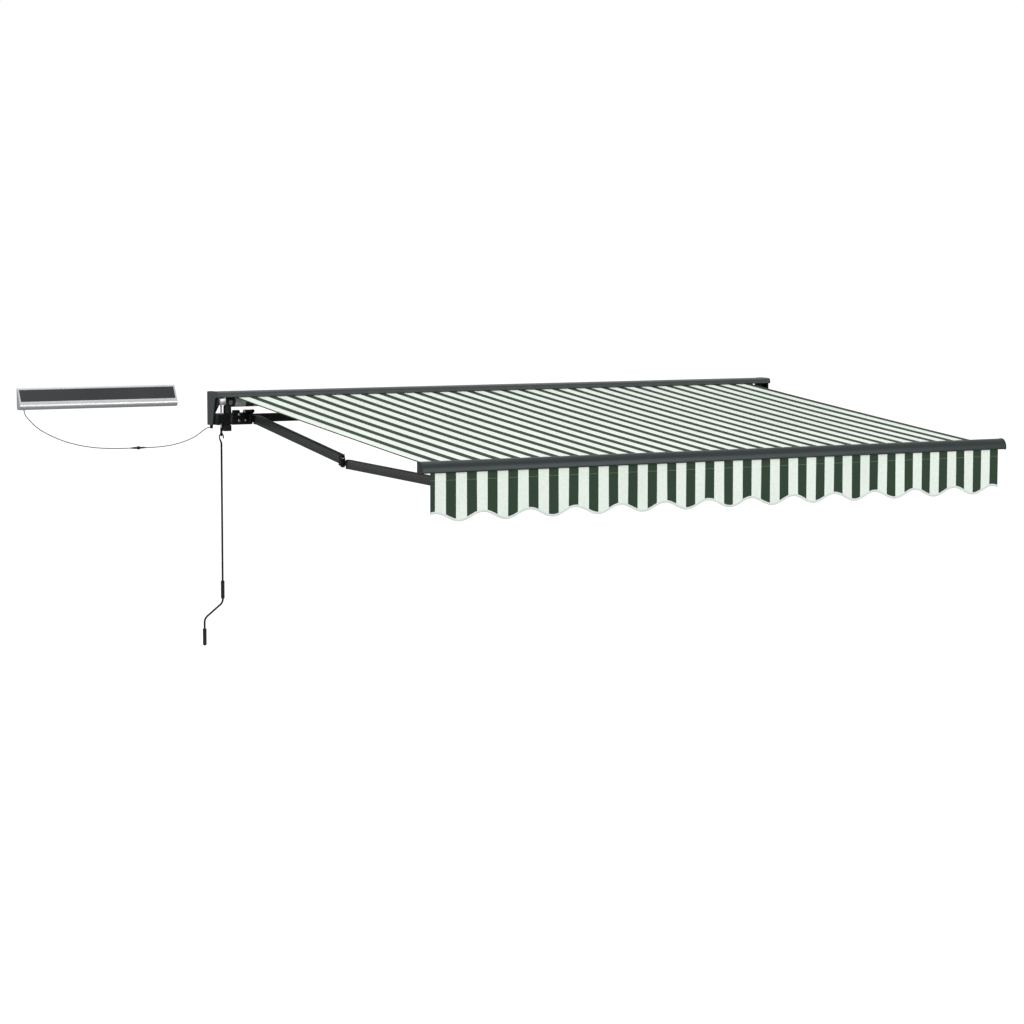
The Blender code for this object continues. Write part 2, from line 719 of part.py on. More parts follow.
def arm_tube(name, hand, length, width, height, levels, finish, parent):
    """A hollow rounded profile between two knuckles, sheared so that its square ends match their flanges."""
    start, end = KNUCKLE_LENGTH + GAP, length - KNUCKLE_LENGTH - GAP
    middle = (hand * ARM_OFFSET, 0.0)
    outer = rounded_box(middle, width, height, 0.007, 2)
    inner = rounded_box(middle, width - 2 * ARM_WALL, height - 2 * ARM_WALL, 0.004, 1)
    made = prism(name, "Y", -end, -start, [outer, inner], finish, parent, smooth=40)
    fall = (levels[0] - levels[1]) / length
    shear = Matrix.Identity(4)
    shear[2][1] = fall
    shear[2][3] = levels[0]
    made.data.transform(shear)
    return made


def arm_spring(name, hand, length, levels, tenon, parent):
    """The tension spring and its pull rods, stretched inside the inner arm from one tenon to the other."""
    fall = (levels[1] - levels[0]) / length
    first = KNUCKLE_LENGTH + tenon + GAP
    last = length - first
    total = (last - first) * math.hypot(1, fall)
    coil_start = 0.030
    turns = round(SPRING_LENGTH / SPRING_PITCH)
    profile = [(0.0, 0.0), (0.003, 0.0), (0.003, coil_start)]
    for turn in range(turns):
        base = coil_start + turn * SPRING_PITCH
        profile += [(SPRING_RADIUS, base + SPRING_PITCH * 0.15), (SPRING_RADIUS, base + SPRING_PITCH * 0.65)]
        profile += [(SPRING_RADIUS - 0.003, base + SPRING_PITCH * 0.8)]
    profile += [(0.003, coil_start + turns * SPRING_PITCH), (0.003, total), (0.0, total)]
    begin = (hand * ARM_OFFSET, -first, levels[0] + fall * first)
    return turned(name, profile[::-1], begin, (0, -1, fall), "steel", parent, 8)


def pitch_rig(side, name):
    """The tilting knuckle that carries the arm, hung from the bracket's ears on a bolt along X."""
    pitch = empty("pitch_axis_" + name, (side * SHOULDER_X, PITCH_Y, PITCH_Z))
    shoulder = (0.0, SHOULDER_Y - PITCH_Y, SHOULDER_Z - PITCH_Z)
    frame = empty("shoulder_frame_" + name, shoulder, (ARM_SLOPE, 0, 0), pitch)
    half = BARREL_HEIGHT / 2 + GAP
    width = 0.0195
    web = block(
        "shoulder_knuckle_" + name, (-width, -0.0035, -0.074), (width, 0.0035, 0.0), "black_paint", pitch
    )
    ear = cylinder("hinge barrel", 0.010, (-width, 0, 0), (width, 0, 0), None, pitch, 20)
    join(web, ear)
    for low, high in ((half, half + FORK_PLATE), (-half - FORK_PLATE, -half)):
        rear = PITCH_Y - SHOULDER_Y + (low + high) / 2 * SLOPE_FALL
        plan = [(-0.017, rear), (0.017, rear)] + arc((0, 0), (0.017, 0.017), 0, -180, 10)
        join(web, prism("fork plate", "Z", low, high, [plan], None, frame))
    cut(web, cylinder("pitch bore", 0.0050 + PIN_PLAY, (-0.03, 0, 0), (0.03, 0, 0), None, pitch, 16))
    end = half + FORK_PLATE + 0.003
    shoulder_pin = cylinder("shoulder pin " + name, PIN_RADIUS, (0, 0, -end), (0, 0, end), None, frame, 12)
    join(web, shoulder_pin)


def shoulder_bracket(side, name):
    """The clamp round the wall bar with its raised lugs, two ears for the pitch bolt and the adjusting screw."""
    low, high = sorted((side * CLAMP_INNER_X, side * CLAMP_OUTER_X))
    bracket = bar_clamp("shoulder_bracket_" + name, low, high, CLAMP_FRONT_Y)
    lug = sorted((side * 1.869, side * 1.826))
    join(
        bracket,
        block("raised lug", (lug[0], CLAMP_FRONT_Y + 0.001, 0.010), (lug[1], -0.066, 0.052), None, bevel=0.003),
    )
    for start, end in ((1.7897 + EAR_WIDTH, 1.7897), (1.7503, 1.7503 - EAR_WIDTH)):
        ends = sorted((side * start, side * end))
        plan = [(-0.070, 0.020), (-0.070, 0.050)] + arc((PITCH_Y, PITCH_Z), (EAR_RADIUS, EAR_RADIUS), 75, 240, 8)
        join(bracket, prism("ear", "X", ends[0], ends[1], [plan], None))
    ends = sorted((side * 1.803, side * 1.737))
    cut(bracket, cylinder("bolt way", 0.0054, (ends[0], PITCH_Y, PITCH_Z), (ends[1], PITCH_Y, PITCH_Z), None))
    face = PITCH_Y + 0.0035
    tip, root = (side * SHOULDER_X, face + GAP, -0.022), (side * SHOULDER_X, -0.080, -0.022)
    join(bracket, cylinder("adjusting screw", 0.004, tip, root, None, sides=12))
    head, half = 0.004, 0.0280
    profile = [(0.0, half + head), (0.008, half + head), (0.008, half), (0.005, half), (0.005, -half), (0.008, -half)]
    profile += [(0.008, -half - head), (0.0, -half - head)]
    turned("pitch_bolt_" + name, profile, (side * SHOULDER_X, PITCH_Y, PITCH_Z), (1, 0, 0), "steel", sides=12)


def wrist_clamp(side, name, frame):
    """The bracket under the front bar that holds the arm's end between its two plates."""
    half = BARREL_HEIGHT / 2 + GAP
    width = 0.019
    plan = [(-width, -0.026), (width, -0.026), (width, 0.004)] + arc((0, 0.004), (width, 0.012), 0, 180, 8)[1:-1]
    plan += [(-width, 0.004)]
    upper = prism("arm_clamp_" + name, "Z", half, half + 0.0075, [plan], "black_paint", frame)
    lower = prism("lower plate", "Z", -half - 0.0075, -half, [plan], None, frame)
    web = block("web", (-width, -0.0262, -half - 0.007), (width, -0.0185, half + 0.007), None, frame)
    join(upper, lower, web)
    bottom = FRONT_TOP - FRONT_HEIGHT - GAP
    level = SHOULDER_Z - REACH * math.sin(ARM_SLOPE) + WRIST_RISE
    seat = block(
        "seat",
        (side * SHOULDER_X - 0.016, WRIST_Y - 0.024, level + half + 0.004),
        (side * SHOULDER_X + 0.016, WRIST_Y + 0.004, bottom),
        None,
    )
    join(upper, seat)
    pin_hole(upper, 0.0, 2 * half + 0.02, frame)
    head_room = half + 0.0075
    cut(upper, cylinder("head room", 0.0105, (0, 0, head_room), (0, 0, head_room + 0.006), None, frame, 12))
    pin("wrist_pin_" + name, 0.0, 2 * half + 0.015, "steel", frame)


def folding_arm(side, name):
    """One folding arm: inner arm with its spring, outer arm, and their knuckles and pins, at their hinge axes."""
    hand = -side
    lean = hand * REST_BEND
    place = (side * SHOULDER_X, SHOULDER_Y, SHOULDER_Z)
    shoulder = empty("shoulder_axis_" + name, place, (ARM_SLOPE, 0, 0))
    inner = empty("inner_arm_line_" + name, (0, 0, 0), (0, 0, lean), shoulder)
    bend = (hand * ARM_LENGTH * math.sin(REST_BEND), -REACH / 2, 0)
    elbow = empty("elbow_axis_" + name, bend, (0, 0, -lean), shoulder)
    wrist = empty("wrist_axis_" + name, (0, -REACH, WRIST_RISE), (0, 0, 0), shoulder)
    outer_end = empty("outer_arm_end_" + name, (0, -REACH, 0), (0, 0, -lean), shoulder)
    inner_fork = empty("inner_arm_end_" + name, elbow.location, (0, 0, lean), shoulder)
    tongue_level = -(INNER_ELBOW_DROP + OUTER_ELBOW_DROP) / 2
    tenon = 0.030
    inner_levels = (0.0, -INNER_ELBOW_DROP)
    outer_levels = (-OUTER_ELBOW_DROP, WRIST_RISE)
    slip = KNUCKLE_LENGTH / ARM_LENGTH
    inner_start = inner_levels[0] + (inner_levels[1] - inner_levels[0]) * slip
    inner_stop = inner_levels[1] - (inner_levels[1] - inner_levels[0]) * slip
    outer_start = outer_levels[0] + (outer_levels[1] - outer_levels[0]) * slip
    outer_stop = outer_levels[1] - (outer_levels[1] - outer_levels[0]) * slip
    half = BARREL_HEIGHT / 2 + GAP
    span = 2 * (half + FORK_PLATE)
    heel = knuckle("inner_arm_heel_" + name, hand, -1, 0.0, inner_start, INNER_HEIGHT, False, tenon, inner)
    pin_hole(heel, 0.0, BARREL_HEIGHT, inner)
    arm_tube("inner_arm_" + name, hand, ARM_LENGTH, INNER_WIDTH, INNER_HEIGHT, inner_levels, "arm_grey", inner)
    arm_spring("arm_spring_" + name, hand, ARM_LENGTH, inner_levels, tenon, inner)
    fork = knuckle("elbow_fork_" + name, hand, 1, tongue_level, inner_stop, INNER_HEIGHT, True, tenon, inner_fork)
    pin_hole(fork, tongue_level, span + 0.01, inner_fork)
    pin("elbow_pin_" + name, tongue_level, span, "steel", inner_fork)
    tongue = knuckle("elbow_tongue_" + name, hand, -1, tongue_level, outer_start, OUTER_HEIGHT, False, tenon, elbow)
    pin_hole(tongue, tongue_level, BARREL_HEIGHT, elbow)
    arm_tube("outer_arm_" + name, hand, ARM_LENGTH, OUTER_WIDTH, OUTER_HEIGHT, outer_levels, "arm_grey", elbow)
    wrist_heel = knuckle("wrist_heel_" + name, hand, 1, WRIST_RISE, outer_stop, OUTER_HEIGHT, False, tenon, outer_end)
    pin_hole(wrist_heel, WRIST_RISE, BARREL_HEIGHT, outer_end)
    wrist_clamp(side, name, wrist)


# Front bar, canopy and valance


def front_outline(inset=0.0):
    """The front bar's section in y and z: upright back, crowned top and a nose that rounds down to the front edge."""
    back, front = FRONT_BACK_Y - inset, FRONT_BACK_Y - FRONT_DEPTH + inset
    top, bottom = FRONT_TOP - inset, FRONT_TOP - FRONT_HEIGHT + inset
    crown = FRONT_BACK_Y - 0.020
    nose = (crown, FRONT_TOP - 0.050)
    outline = [(back, top - 0.004), (back - 0.004, top - 0.001)]
    outline += arc(nose, (crown - front, top - nose[1]), 90, 180, 7)
    outline += [(front, bottom + 0.006), (front + 0.006, bottom), (back, bottom)]
    return outline


def front_bar():
    outer = front_outline()
    slot_middle = FRONT_TOP - 0.0085
    mouth, room = CLOTH_SLOT_MOUTH / 2, CLOTH_SLOT_HEIGHT / 2
    slot = [(0.0, -mouth), (SLOT_LIP, -mouth), (SLOT_LIP, -room), (CLOTH_SLOT_DEPTH, -room)]
    slot += [(depth, -level) for depth, level in reversed(slot)]
    outer = outer + [(FRONT_BACK_Y - depth, slot_middle + level) for depth, level in slot]
    bottom = FRONT_TOP - FRONT_HEIGHT
    mouth, room = VALANCE_SLOT_MOUTH, VALANCE_SLOT_HALF
    groove = [(-mouth, 0.0), (-mouth, SLOT_LIP), (-room, SLOT_LIP), (-room, VALANCE_SLOT_DEPTH)]
    groove += [(-across, depth) for across, depth in reversed(groove)]
    groove = [(VALANCE_Y + across, bottom + depth) for across, depth in groove]
    last = next(i for i, point in enumerate(outer) if point[1] == bottom)
    outer = outer[: last + 1] + groove + outer[last + 1 :]
    hollow = [
        (FRONT_BACK_Y - FRONT_WALL, bottom + FRONT_WALL),
        (FRONT_BACK_Y - FRONT_WALL, slot_middle - 0.008),
        (FRONT_BACK_Y - 0.016, slot_middle - 0.008),
        (FRONT_BACK_Y - 0.020, FRONT_TOP - FRONT_WALL),
    ]
    crown = FRONT_BACK_Y - 0.020
    nose = (crown, FRONT_TOP - 0.050)
    reach = FRONT_DEPTH - 0.020 - FRONT_WALL
    hollow += arc(nose, (reach, 0.050 - FRONT_WALL), 105, 180, 5)
    hollow += [(VALANCE_Y - 0.006, bottom + FRONT_WALL + 0.010), (VALANCE_Y + 0.006, bottom + FRONT_WALL + 0.010)]
    hollow += [(VALANCE_Y + 0.006, bottom + FRONT_WALL)]
    left, right = FRONT_LEFT + FRONT_CAP + GAP, FRONT_RIGHT - FRONT_CAP - GAP
    prism("front_bar", "X", left, right, [outer, hollow], "anthracite", smooth=35)
    cap = front_outline(-0.0015)
    prism("front_bar_cap_left", "X", FRONT_LEFT, FRONT_LEFT + FRONT_CAP, [cap], "anthracite", smooth=35)
    prism("front_bar_cap_right", "X", FRONT_RIGHT - FRONT_CAP, FRONT_RIGHT, [cap], "anthracite", smooth=35)


def stripe_edges(left, right, first, period, white):
    """Every stripe boundary between the two edges, each with whether a white stripe starts there."""
    edges = [(left, first <= left)]
    count = 0
    while first + count * period < right:
        start = first + count * period
        if start > left:
            edges.append((start, True))
        if start + white < right:
            edges.append((start + white, False))
        count += 1
    return edges + [(right, False)]


def cloth(name, columns, whites):
    """A closed striped sheet. columns holds for each x the outline of its section, as (y, z) pairs."""
    mesh = bpy.data.meshes.new(name)
    shape = bmesh.new()
    rows = []
    for x, line in columns:
        ring = [shape.verts.new((x, y, z)) for y, z in line]
        rows.append(ring)
    for index, (first, second) in enumerate(zip(rows, rows[1:])):
        count = len(first)
        for corner in range(count):
            following = (corner + 1) % count
            face = shape.faces.new((first[corner], second[corner], second[following], first[following]))
            face.material_index = 1 if whites[index] else 0
    shape.faces.new(rows[0])
    shape.faces.new(rows[-1][::-1])
    bmesh.ops.recalc_face_normals(shape, faces=shape.faces)
    shape.to_mesh(mesh)
    shape.free()
    made = part(name, mesh, None)
    for colour in ("cloth_green", "cloth_white"):
        mesh.materials.append(material(colour))
    return made


def canopy():
    """The flat, tensioned sheet from the roll to its beaded edge in the front bar, one face for each stripe."""
    half, bead = CLOTH_THICKNESS / 2, CLOTH_SLOT_HEIGHT / 2 - GAP
    neck, front = FRONT_BACK_Y - SLOT_LIP - GAP, FRONT_BACK_Y - CLOTH_SLOT_DEPTH + GAP
    upper = [(ROLLER_Y - 0.004, half), (FRONT_BACK_Y, half), (neck, half), (neck, bead), (front, bead)]
    section = upper + [(y, -level) for y, level in reversed(upper)]
    line = [(y, fabric_height(max(y, FRONT_BACK_Y)) + level) for y, level in section]
    edges = stripe_edges(CLOTH_LEFT, CLOTH_RIGHT, FIRST_WHITE, STRIPE_PERIOD, STRIPE_WHITE)
    cloth("canopy", [(x, line) for x, _ in edges], [white for _, white in edges])


def valance_bottom(x):
    """The scalloped lower edge: a sine wave with its low points at even distances."""
    return VALANCE_LOW_Z + VALANCE_WAVE * (1 - math.cos(2 * math.pi * (x - VALANCE_FIRST_LOW) / VALANCE_WAVE_LENGTH))


def valance():
    """The hanging strip, sewn with its bound scalloped edge, one face for each stripe and step of the wave."""
    edges = stripe_edges(VALANCE_LEFT, VALANCE_RIGHT, VALANCE_FIRST_WHITE, VALANCE_PERIOD, VALANCE_WHITE)
    bottom = FRONT_TOP - FRONT_HEIGHT
    neck, top = bottom + SLOT_LIP + GAP, bottom + VALANCE_SLOT_DEPTH - GAP
    half, bead = VALANCE_THICKNESS / 2, VALANCE_SLOT_HALF - GAP
    columns, whites = [], []
    for (x, white), (following, _) in zip(edges, edges[1:] + [(VALANCE_RIGHT, False)]):
        steps = 1 if following == x else 3
        for step in range(steps):
            place = x + (following - x) * step / steps
            low = valance_bottom(place)
            line = [(-bead, top), (-bead, neck), (-half, neck), (-half, low + BINDING_HEIGHT), (-half, low)]
            line += [(-across, level) for across, level in reversed(line)]
            columns.append((place, [(VALANCE_Y + across, level) for across, level in line]))
            whites.append(white)
    cloth("valance", columns, whites)


# Solar panel and its cable


def solar_panel():
    """A leaning silver extrusion with a rounded lower lip, its dark laminate and the wall bracket behind it."""
    face_top, face_bottom = (-0.018, PANEL_TOP - 0.006), (-0.052, PANEL_BOTTOM + 0.044)
    lip = arc((-0.040, PANEL_BOTTOM + 0.024), (0.020, 0.024), 150, 262, 6)
    outline = [(PANEL_BACK_Y, PANEL_TOP - 0.005), (PANEL_BACK_Y - 0.003, PANEL_TOP), (-0.014, PANEL_TOP)]
    outline += [face_top, face_bottom] + lip
    outline += [(PANEL_BACK_Y - 0.010, PANEL_BOTTOM), (PANEL_BACK_Y, PANEL_BOTTOM + 0.010)]
    frame = prism("panel_frame", "X", PANEL_LEFT, PANEL_RIGHT, [outline], "silver", smooth=35)
    direction = Vector((0, face_bottom[0] - face_top[0], face_bottom[1] - face_top[1]))
    length = direction.length
    direction.normalize()
    normal = Vector((0, direction.z, -direction.y))
    top = Vector((0, *face_top))
    margin, depth = 0.0045, 0.004
    corners = []
    for along, out in ((margin, 0.003), (length - margin, 0.003), (length - margin, -depth), (margin, -depth)):
        place = top + direction * along + normal * out
        corners.append((place.y, place.z))
    side = 0.010
    cut(frame, prism("recess", "X", PANEL_LEFT + side, PANEL_RIGHT - side, [corners], None))
    corners = []
    for along, out in (
        (margin + GAP, -0.0005),
        (length - margin - GAP, -0.0005),
        (length - margin - GAP, -depth + GAP),
        (margin + GAP, -depth + GAP),
    ):
        place = top + direction * along + normal * out
        corners.append((place.y, place.z))
    inside = side + GAP
    cells = prism("panel_cells", "X", PANEL_LEFT + inside, PANEL_RIGHT - inside, [corners], "solar_cells")
    middle = (PANEL_LEFT + PANEL_RIGHT) / 2
    seam = []
    for along, out in ((0.0, 0.002), (length, 0.002), (length, -0.0013), (0.0, -0.0013)):
        place = top + direction * along + normal * out
        seam.append((place.y, place.z))
    cut(cells, prism("seam", "X", middle - 0.002, middle + 0.002, [seam], None))
    rail = block(
        "panel_bracket",
        (middle - 0.060, PANEL_BACK_Y + GAP, 0.110),
        (middle + 0.060, 0.0, 0.180),
        "zinc",
        bevel=0.002,
    )
    for place in (-0.04, 0.04):
        cut(
            rail,
            cylinder("hole", 0.003, (middle + place, 0.01, 0.145), (middle + place, -0.02, 0.145), None, sides=12),
        )
    gland = cylinder(
        "panel gland",
        0.0055,
        (CABLE_ROUTE[0].x, CABLE_Y, CABLE_ROUTE[0].z + GAP),
        (CABLE_ROUTE[0].x, CABLE_Y, PANEL_BOTTOM + 0.012),
        None,
        sides=12,
    )
    join(frame, gland)


CABLE_ROUTE = [
    Vector((x, CABLE_Y, z))
    for x, z in (
        (-3.165, 0.076),
        (-3.165, 0.068),
        (-3.160, 0.056),
        (-3.136, 0.026),
        (-3.088, -0.020),
        (-3.023, -0.060),
        (-2.935, -0.099),
        (-2.839, -0.128),
        (-2.741, -0.146),
        (-2.651, -0.154),
        (-2.560, -0.157),
        (-2.508, -0.157),
    )
]
CABLE_ROUTE_TO_AWNING = [
    Vector((x, y, z))
    for x, y, z in (
        (-2.411, CABLE_Y, -0.157),
        (-2.337, CABLE_Y, -0.156),
        (-2.244, CABLE_Y, -0.147),
        (-2.160, CABLE_Y, -0.127),
        (-2.092, CABLE_Y, -0.100),
        (-2.045, CABLE_Y, -0.069),
        (-2.017, CABLE_Y, -0.0525),
        (-2.004, CABLE_Y, -0.0500),
        (-1.996, CABLE_Y, -0.0500),
    )
]


def cable():
    """The thin lead from the panel to the awning, with its in-line connector and the gland under the end cover."""
    wire("cable_panel_side", smooth_route(CABLE_ROUTE, 0.016), CABLE_RADIUS, "grey_cable")
    wire("cable_awning_side", smooth_route(CABLE_ROUTE_TO_AWNING, 0.016), CABLE_RADIUS, "grey_cable")
    start, end = CABLE_ROUTE[-1], CABLE_ROUTE_TO_AWNING[0]
    length = (end - start).length - 2 * GAP
    profile = [(0.0, length), (0.0035, length), (0.0055, length * 0.72), (0.0055, length * 0.60)]
    profile += [(0.0095, length * 0.58), (0.0095, length * 0.44), (0.0060, length * 0.42)]
    profile += [(0.0060, length * 0.28), (0.0035, 0.0), (0.0, 0.0)]
    turned("cable_connector", profile, start + Vector((GAP, 0, 0)), end - start, "black_plastic", sides=12)
    last = CABLE_ROUTE_TO_AWNING[-1]
    block(
        "cable_gland",
        (last.x + GAP, CABLE_Y - 0.007, last.z - 0.006),
        (last.x + 0.016, CABLE_Y + 0.007, END_FOOT_Z - GAP),
        "black_plastic",
        bevel=0.0015,
    )


clear_scene()
AWNING = new_collection("awning")
HELPERS = new_collection("cutters", hidden=True)
wall_bar()
centre_bracket()
side_bracket(-1, "left")
side_bracket(1, "right")
hood()
roller()
gearbox()
crank()
for arm_side, arm_name in ((-1, "left"), (1, "right")):
    shoulder_bracket(arm_side, arm_name)
    pitch_rig(arm_side, arm_name)
    folding_arm(arm_side, arm_name)
front_bar()
canopy()
valance()
solar_panel()
cable()
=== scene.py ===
"""Dresses the folding-arm awning: striped canopy and valance, cable, rounded castings and profiles, bolts."""

import json
import math

import bmesh
import bpy
import numpy as np
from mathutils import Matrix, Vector


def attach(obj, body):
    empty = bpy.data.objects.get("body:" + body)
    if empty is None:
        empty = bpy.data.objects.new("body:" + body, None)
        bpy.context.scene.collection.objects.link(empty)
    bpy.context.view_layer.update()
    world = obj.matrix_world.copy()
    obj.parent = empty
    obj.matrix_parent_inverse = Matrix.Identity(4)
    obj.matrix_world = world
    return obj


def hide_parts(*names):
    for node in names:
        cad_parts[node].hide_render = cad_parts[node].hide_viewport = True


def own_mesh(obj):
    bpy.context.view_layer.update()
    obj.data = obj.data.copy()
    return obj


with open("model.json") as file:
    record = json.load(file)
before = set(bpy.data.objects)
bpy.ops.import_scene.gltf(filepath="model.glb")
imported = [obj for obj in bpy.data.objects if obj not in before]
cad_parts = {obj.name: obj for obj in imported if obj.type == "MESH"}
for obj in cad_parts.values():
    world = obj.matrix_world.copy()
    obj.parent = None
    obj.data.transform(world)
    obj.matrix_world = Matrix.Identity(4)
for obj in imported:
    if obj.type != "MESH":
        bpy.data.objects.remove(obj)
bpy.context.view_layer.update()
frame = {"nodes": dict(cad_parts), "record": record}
BODIES = frame["record"]["behaviour"]["bodies"]
BODY_OF = {node: body for body, nodes in BODIES.items() for node in nodes}

# Sizes shared with the frame's solids, in metres
ROLLER = (-0.080, 0.1045)
ROLL_RADIUS = 0.0335
FRONT_BACK_Y = -2.452
FRONT_TOP, FRONT_HEIGHT = -0.112, 0.062
CLOTH_X = (-1.879, 1.847)
CLOTH_THICKNESS = 0.0014
CLOTH_LIFT = 0.0013
CLOTH_SLOT_DROP = 0.0085
CLOTH_BELLY = 0.004
CLOTH_RIPPLE = 0.0012
LIP_DIP = 0.0028
CANOPY_STRIPES = (-1.8637, 0.1237, 0.0691)
VALANCE_X = (-1.853, 1.987)
VALANCE_Y = -2.503
VALANCE_THICKNESS = 0.0012
VALANCE_GROOVE_RISE = 0.0045
VALANCE_STRIPES = (-1.8243, 0.1270, 0.0656)
VALANCE_LOW, VALANCE_WAVE = -0.434, 0.0225
VALANCE_FIRST_LOW, VALANCE_WAVE_LENGTH = -1.677, 0.2898
VALANCE_STITCH_Z = -0.213
STITCH_HALF_WIDTH = 0.0012
BINDING_HEIGHT = 0.014
BINDING_HALF_THICKNESS = 0.0014
BINDING_LAP = 0.0015
CABLE_DIAMETER = 0.005
CABLE_Y = -0.034
CRANK = (-1.962, -0.118)
HANDLE_OFFSET = 0.120
FLOOR_LEVEL = -2.6
FLOOR_HALF = 60.0


# Nodes and node groups


class Shader:
    """A short way to add and link nodes in one tree."""

    def __init__(self, tree):
        self.tree = tree

    def add(self, kind, **settings):
        node = self.tree.nodes.new(kind)
        for key, value in settings.items():
            setattr(node, key, value)
        return node

    def put(self, socket, value):
        if isinstance(value, bpy.types.NodeSocket):
            self.tree.links.new(value, socket)
        elif value is not None:
            socket.default_value = value

    def math(self, operation, first, second=None):
        node = self.add("ShaderNodeMath", operation=operation)
        for socket, value in zip(node.inputs, (first, second)):
            self.put(socket, value)
        return node.outputs[0]

    def mix(self, share, first, second, blend="MIX"):
        node = self.add("ShaderNodeMix", data_type="RGBA", blend_type=blend)
        self.put(node.inputs[0], share)
        self.put(node.inputs[6], first)
        self.put(node.inputs[7], second)
        return node.outputs[2]

    def noise(self, place, scale, detail=2.0, roughness=0.5):
        node = self.add("ShaderNodeTexNoise")
        self.put(node.inputs["Vector"], place)
        self.put(node.inputs["Scale"], scale)
        self.put(node.inputs["Detail"], detail)
        self.put(node.inputs["Roughness"], roughness)
        return node.outputs["Fac"]

    def spread(self, value, low, high, to_low=0.0, to_high=1.0):
        node = self.add("ShaderNodeMapRange")
        for index, given in enumerate((value, low, high, to_low, to_high)):
            self.put(node.inputs[index], given)
        return node.outputs[0]

    def split(self, vector):
        node = self.add("ShaderNodeSeparateXYZ")
        self.put(node.inputs[0], vector)
        return node.outputs


KINDS = {"value": "NodeSocketFloat", "colour": "NodeSocketColor", "vector": "NodeSocketVector"}


def new_group(name, inputs, outputs, build):
    """A shader node group with named inputs and outputs, whose nodes the function build adds."""
    tree = bpy.data.node_groups.new(name, "ShaderNodeTree")
    for label, (kind, value) in inputs.items():
        socket = tree.interface.new_socket(label, in_out="INPUT", socket_type=KINDS[kind])
        if value is not None:
            socket.default_value = value
    for label, kind in outputs.items():
        tree.interface.new_socket(label, in_out="OUTPUT", socket_type=KINDS[kind])
    shader = Shader(tree)
    entry, leaving = shader.add("NodeGroupInput"), shader.add("NodeGroupOutput")
    results = build(shader, entry.outputs)
    for label in outputs:
        tree.links.new(results[label], leaving.inputs[label])
    return tree


def build_powder_coat(shader, given):
    """Fine orange-peel grain, slow mottling of the colour, and paler dust where the surface looks up."""
    place = shader.add("ShaderNodeTexCoord").outputs["Object"]
    peel = shader.noise(place, given["Grain Scale"], 3.0, 0.55)
    mottle = shader.noise(place, 6.0, 4.0, 0.6)
    up = shader.split(shader.add("ShaderNodeNewGeometry").outputs["Normal"])[2]
    dust = shader.math("MULTIPLY", shader.spread(up, 0.55, 1.0), shader.spread(mottle, 0.35, 0.75))
    dust = shader.math("MULTIPLY", dust, given["Dust"])
    shade = shader.spread(mottle, 0.3, 0.7, 0.9, 1.1)
    grey = shader.add("ShaderNodeCombineColor")
    for socket in grey.inputs:
        shader.put(socket, shade)
    colour = shader.mix(1.0, given["Colour"], grey.outputs[0], "MULTIPLY")
    colour = shader.mix(dust, colour, (0.42, 0.42, 0.40, 1.0))
    rough = shader.math("ADD", given["Roughness"], shader.spread(peel, 0.3, 0.7, -0.05, 0.05))
    rough = shader.math("ADD", rough, shader.math("MULTIPLY", dust, 0.2))
    return {"Colour": colour, "Roughness": rough, "Height": peel}


def build_weave(shader, given):
    """Plain canvas weave: warp and weft threads that pass over and under, with slubs in the yarn."""
    across, along, _ = shader.split(given["Place"])
    turns = shader.math("MULTIPLY", given["Threads"], math.pi)
    warp = shader.math("SINE", shader.math("MULTIPLY", across, turns))
    weft = shader.math("SINE", shader.math("MULTIPLY", along, turns))
    over = shader.math("MULTIPLY", warp, weft)
    threads = shader.math("MAXIMUM", shader.math("ABSOLUTE", warp), shader.math("ABSOLUTE", weft))
    height = shader.math("ADD", shader.math("MULTIPLY", over, 0.35), threads)
    slub = shader.noise(given["Place"], 55.0, 3.0, 0.6)
    broad = shader.noise(given["Place"], 2.2, 3.0, 0.5)
    fine = shader.spread(slub, 0.3, 0.7, -0.05, 0.05)
    shade = shader.math("ADD", fine, shader.spread(broad, 0.3, 0.7, 0.96, 1.03))
    return {"Height": shader.math("ADD", height, shader.math("MULTIPLY", slub, 0.5)), "Shade": shade}


def build_stripes(shader, given):
    """1 on the pale stripes, where the place in a repeat, from the pale edge on, is below the pale width."""
    across = shader.math("SUBTRACT", shader.split(given["Place"])[0], given["First"])
    share = shader.math("FRACT", shader.math("DIVIDE", across, given["Period"]))
    pale = shader.math("LESS_THAN", shader.math("MULTIPLY", share, given["Period"]), given["Width"])
    return {"Pale": pale}


POWDER_COAT = new_group(
    "powder coat",
    {
        "Colour": ("colour", (0.05, 0.05, 0.05, 1.0)),
        "Roughness": ("value", 0.45),
        "Grain Scale": ("value", 900.0),
        "Dust": ("value", 0.1),
    },
    {"Colour": "colour", "Roughness": "value", "Height": "value"},
    build_powder_coat,
)
WEAVE = new_group(
    "canvas weave",
    {"Place": ("vector", None), "Threads": ("value", 900.0)},
    {"Height": "value", "Shade": "value"},
    build_weave,
)
STRIPES = new_group(
    "stripes",
    {"Place": ("vector", None), "First": ("value", 0.0), "Period": ("value", 0.12), "Width": ("value", 0.07)},
    {"Pale": "value"},
    build_stripes,
)


def new_material(name):
    made = bpy.data.materials.new(name)
    made.use_nodes = True
    return made, Shader(made.node_tree), made.node_tree.nodes["Principled BSDF"]


def use_group(shader, tree, **values):
    node = shader.add("ShaderNodeGroup", node_tree=tree)
    for label, value in values.items():
        shader.put(node.inputs[label], value)
    return node.outputs


def bump(shader, surface, height, strength, distance):
    node = shader.add("ShaderNodeBump")
    node.inputs["Strength"].default_value = strength
    node.inputs["Distance"].default_value = distance
    shader.put(node.inputs["Height"], height)
    shader.put(surface.inputs["Normal"], node.outputs[0])


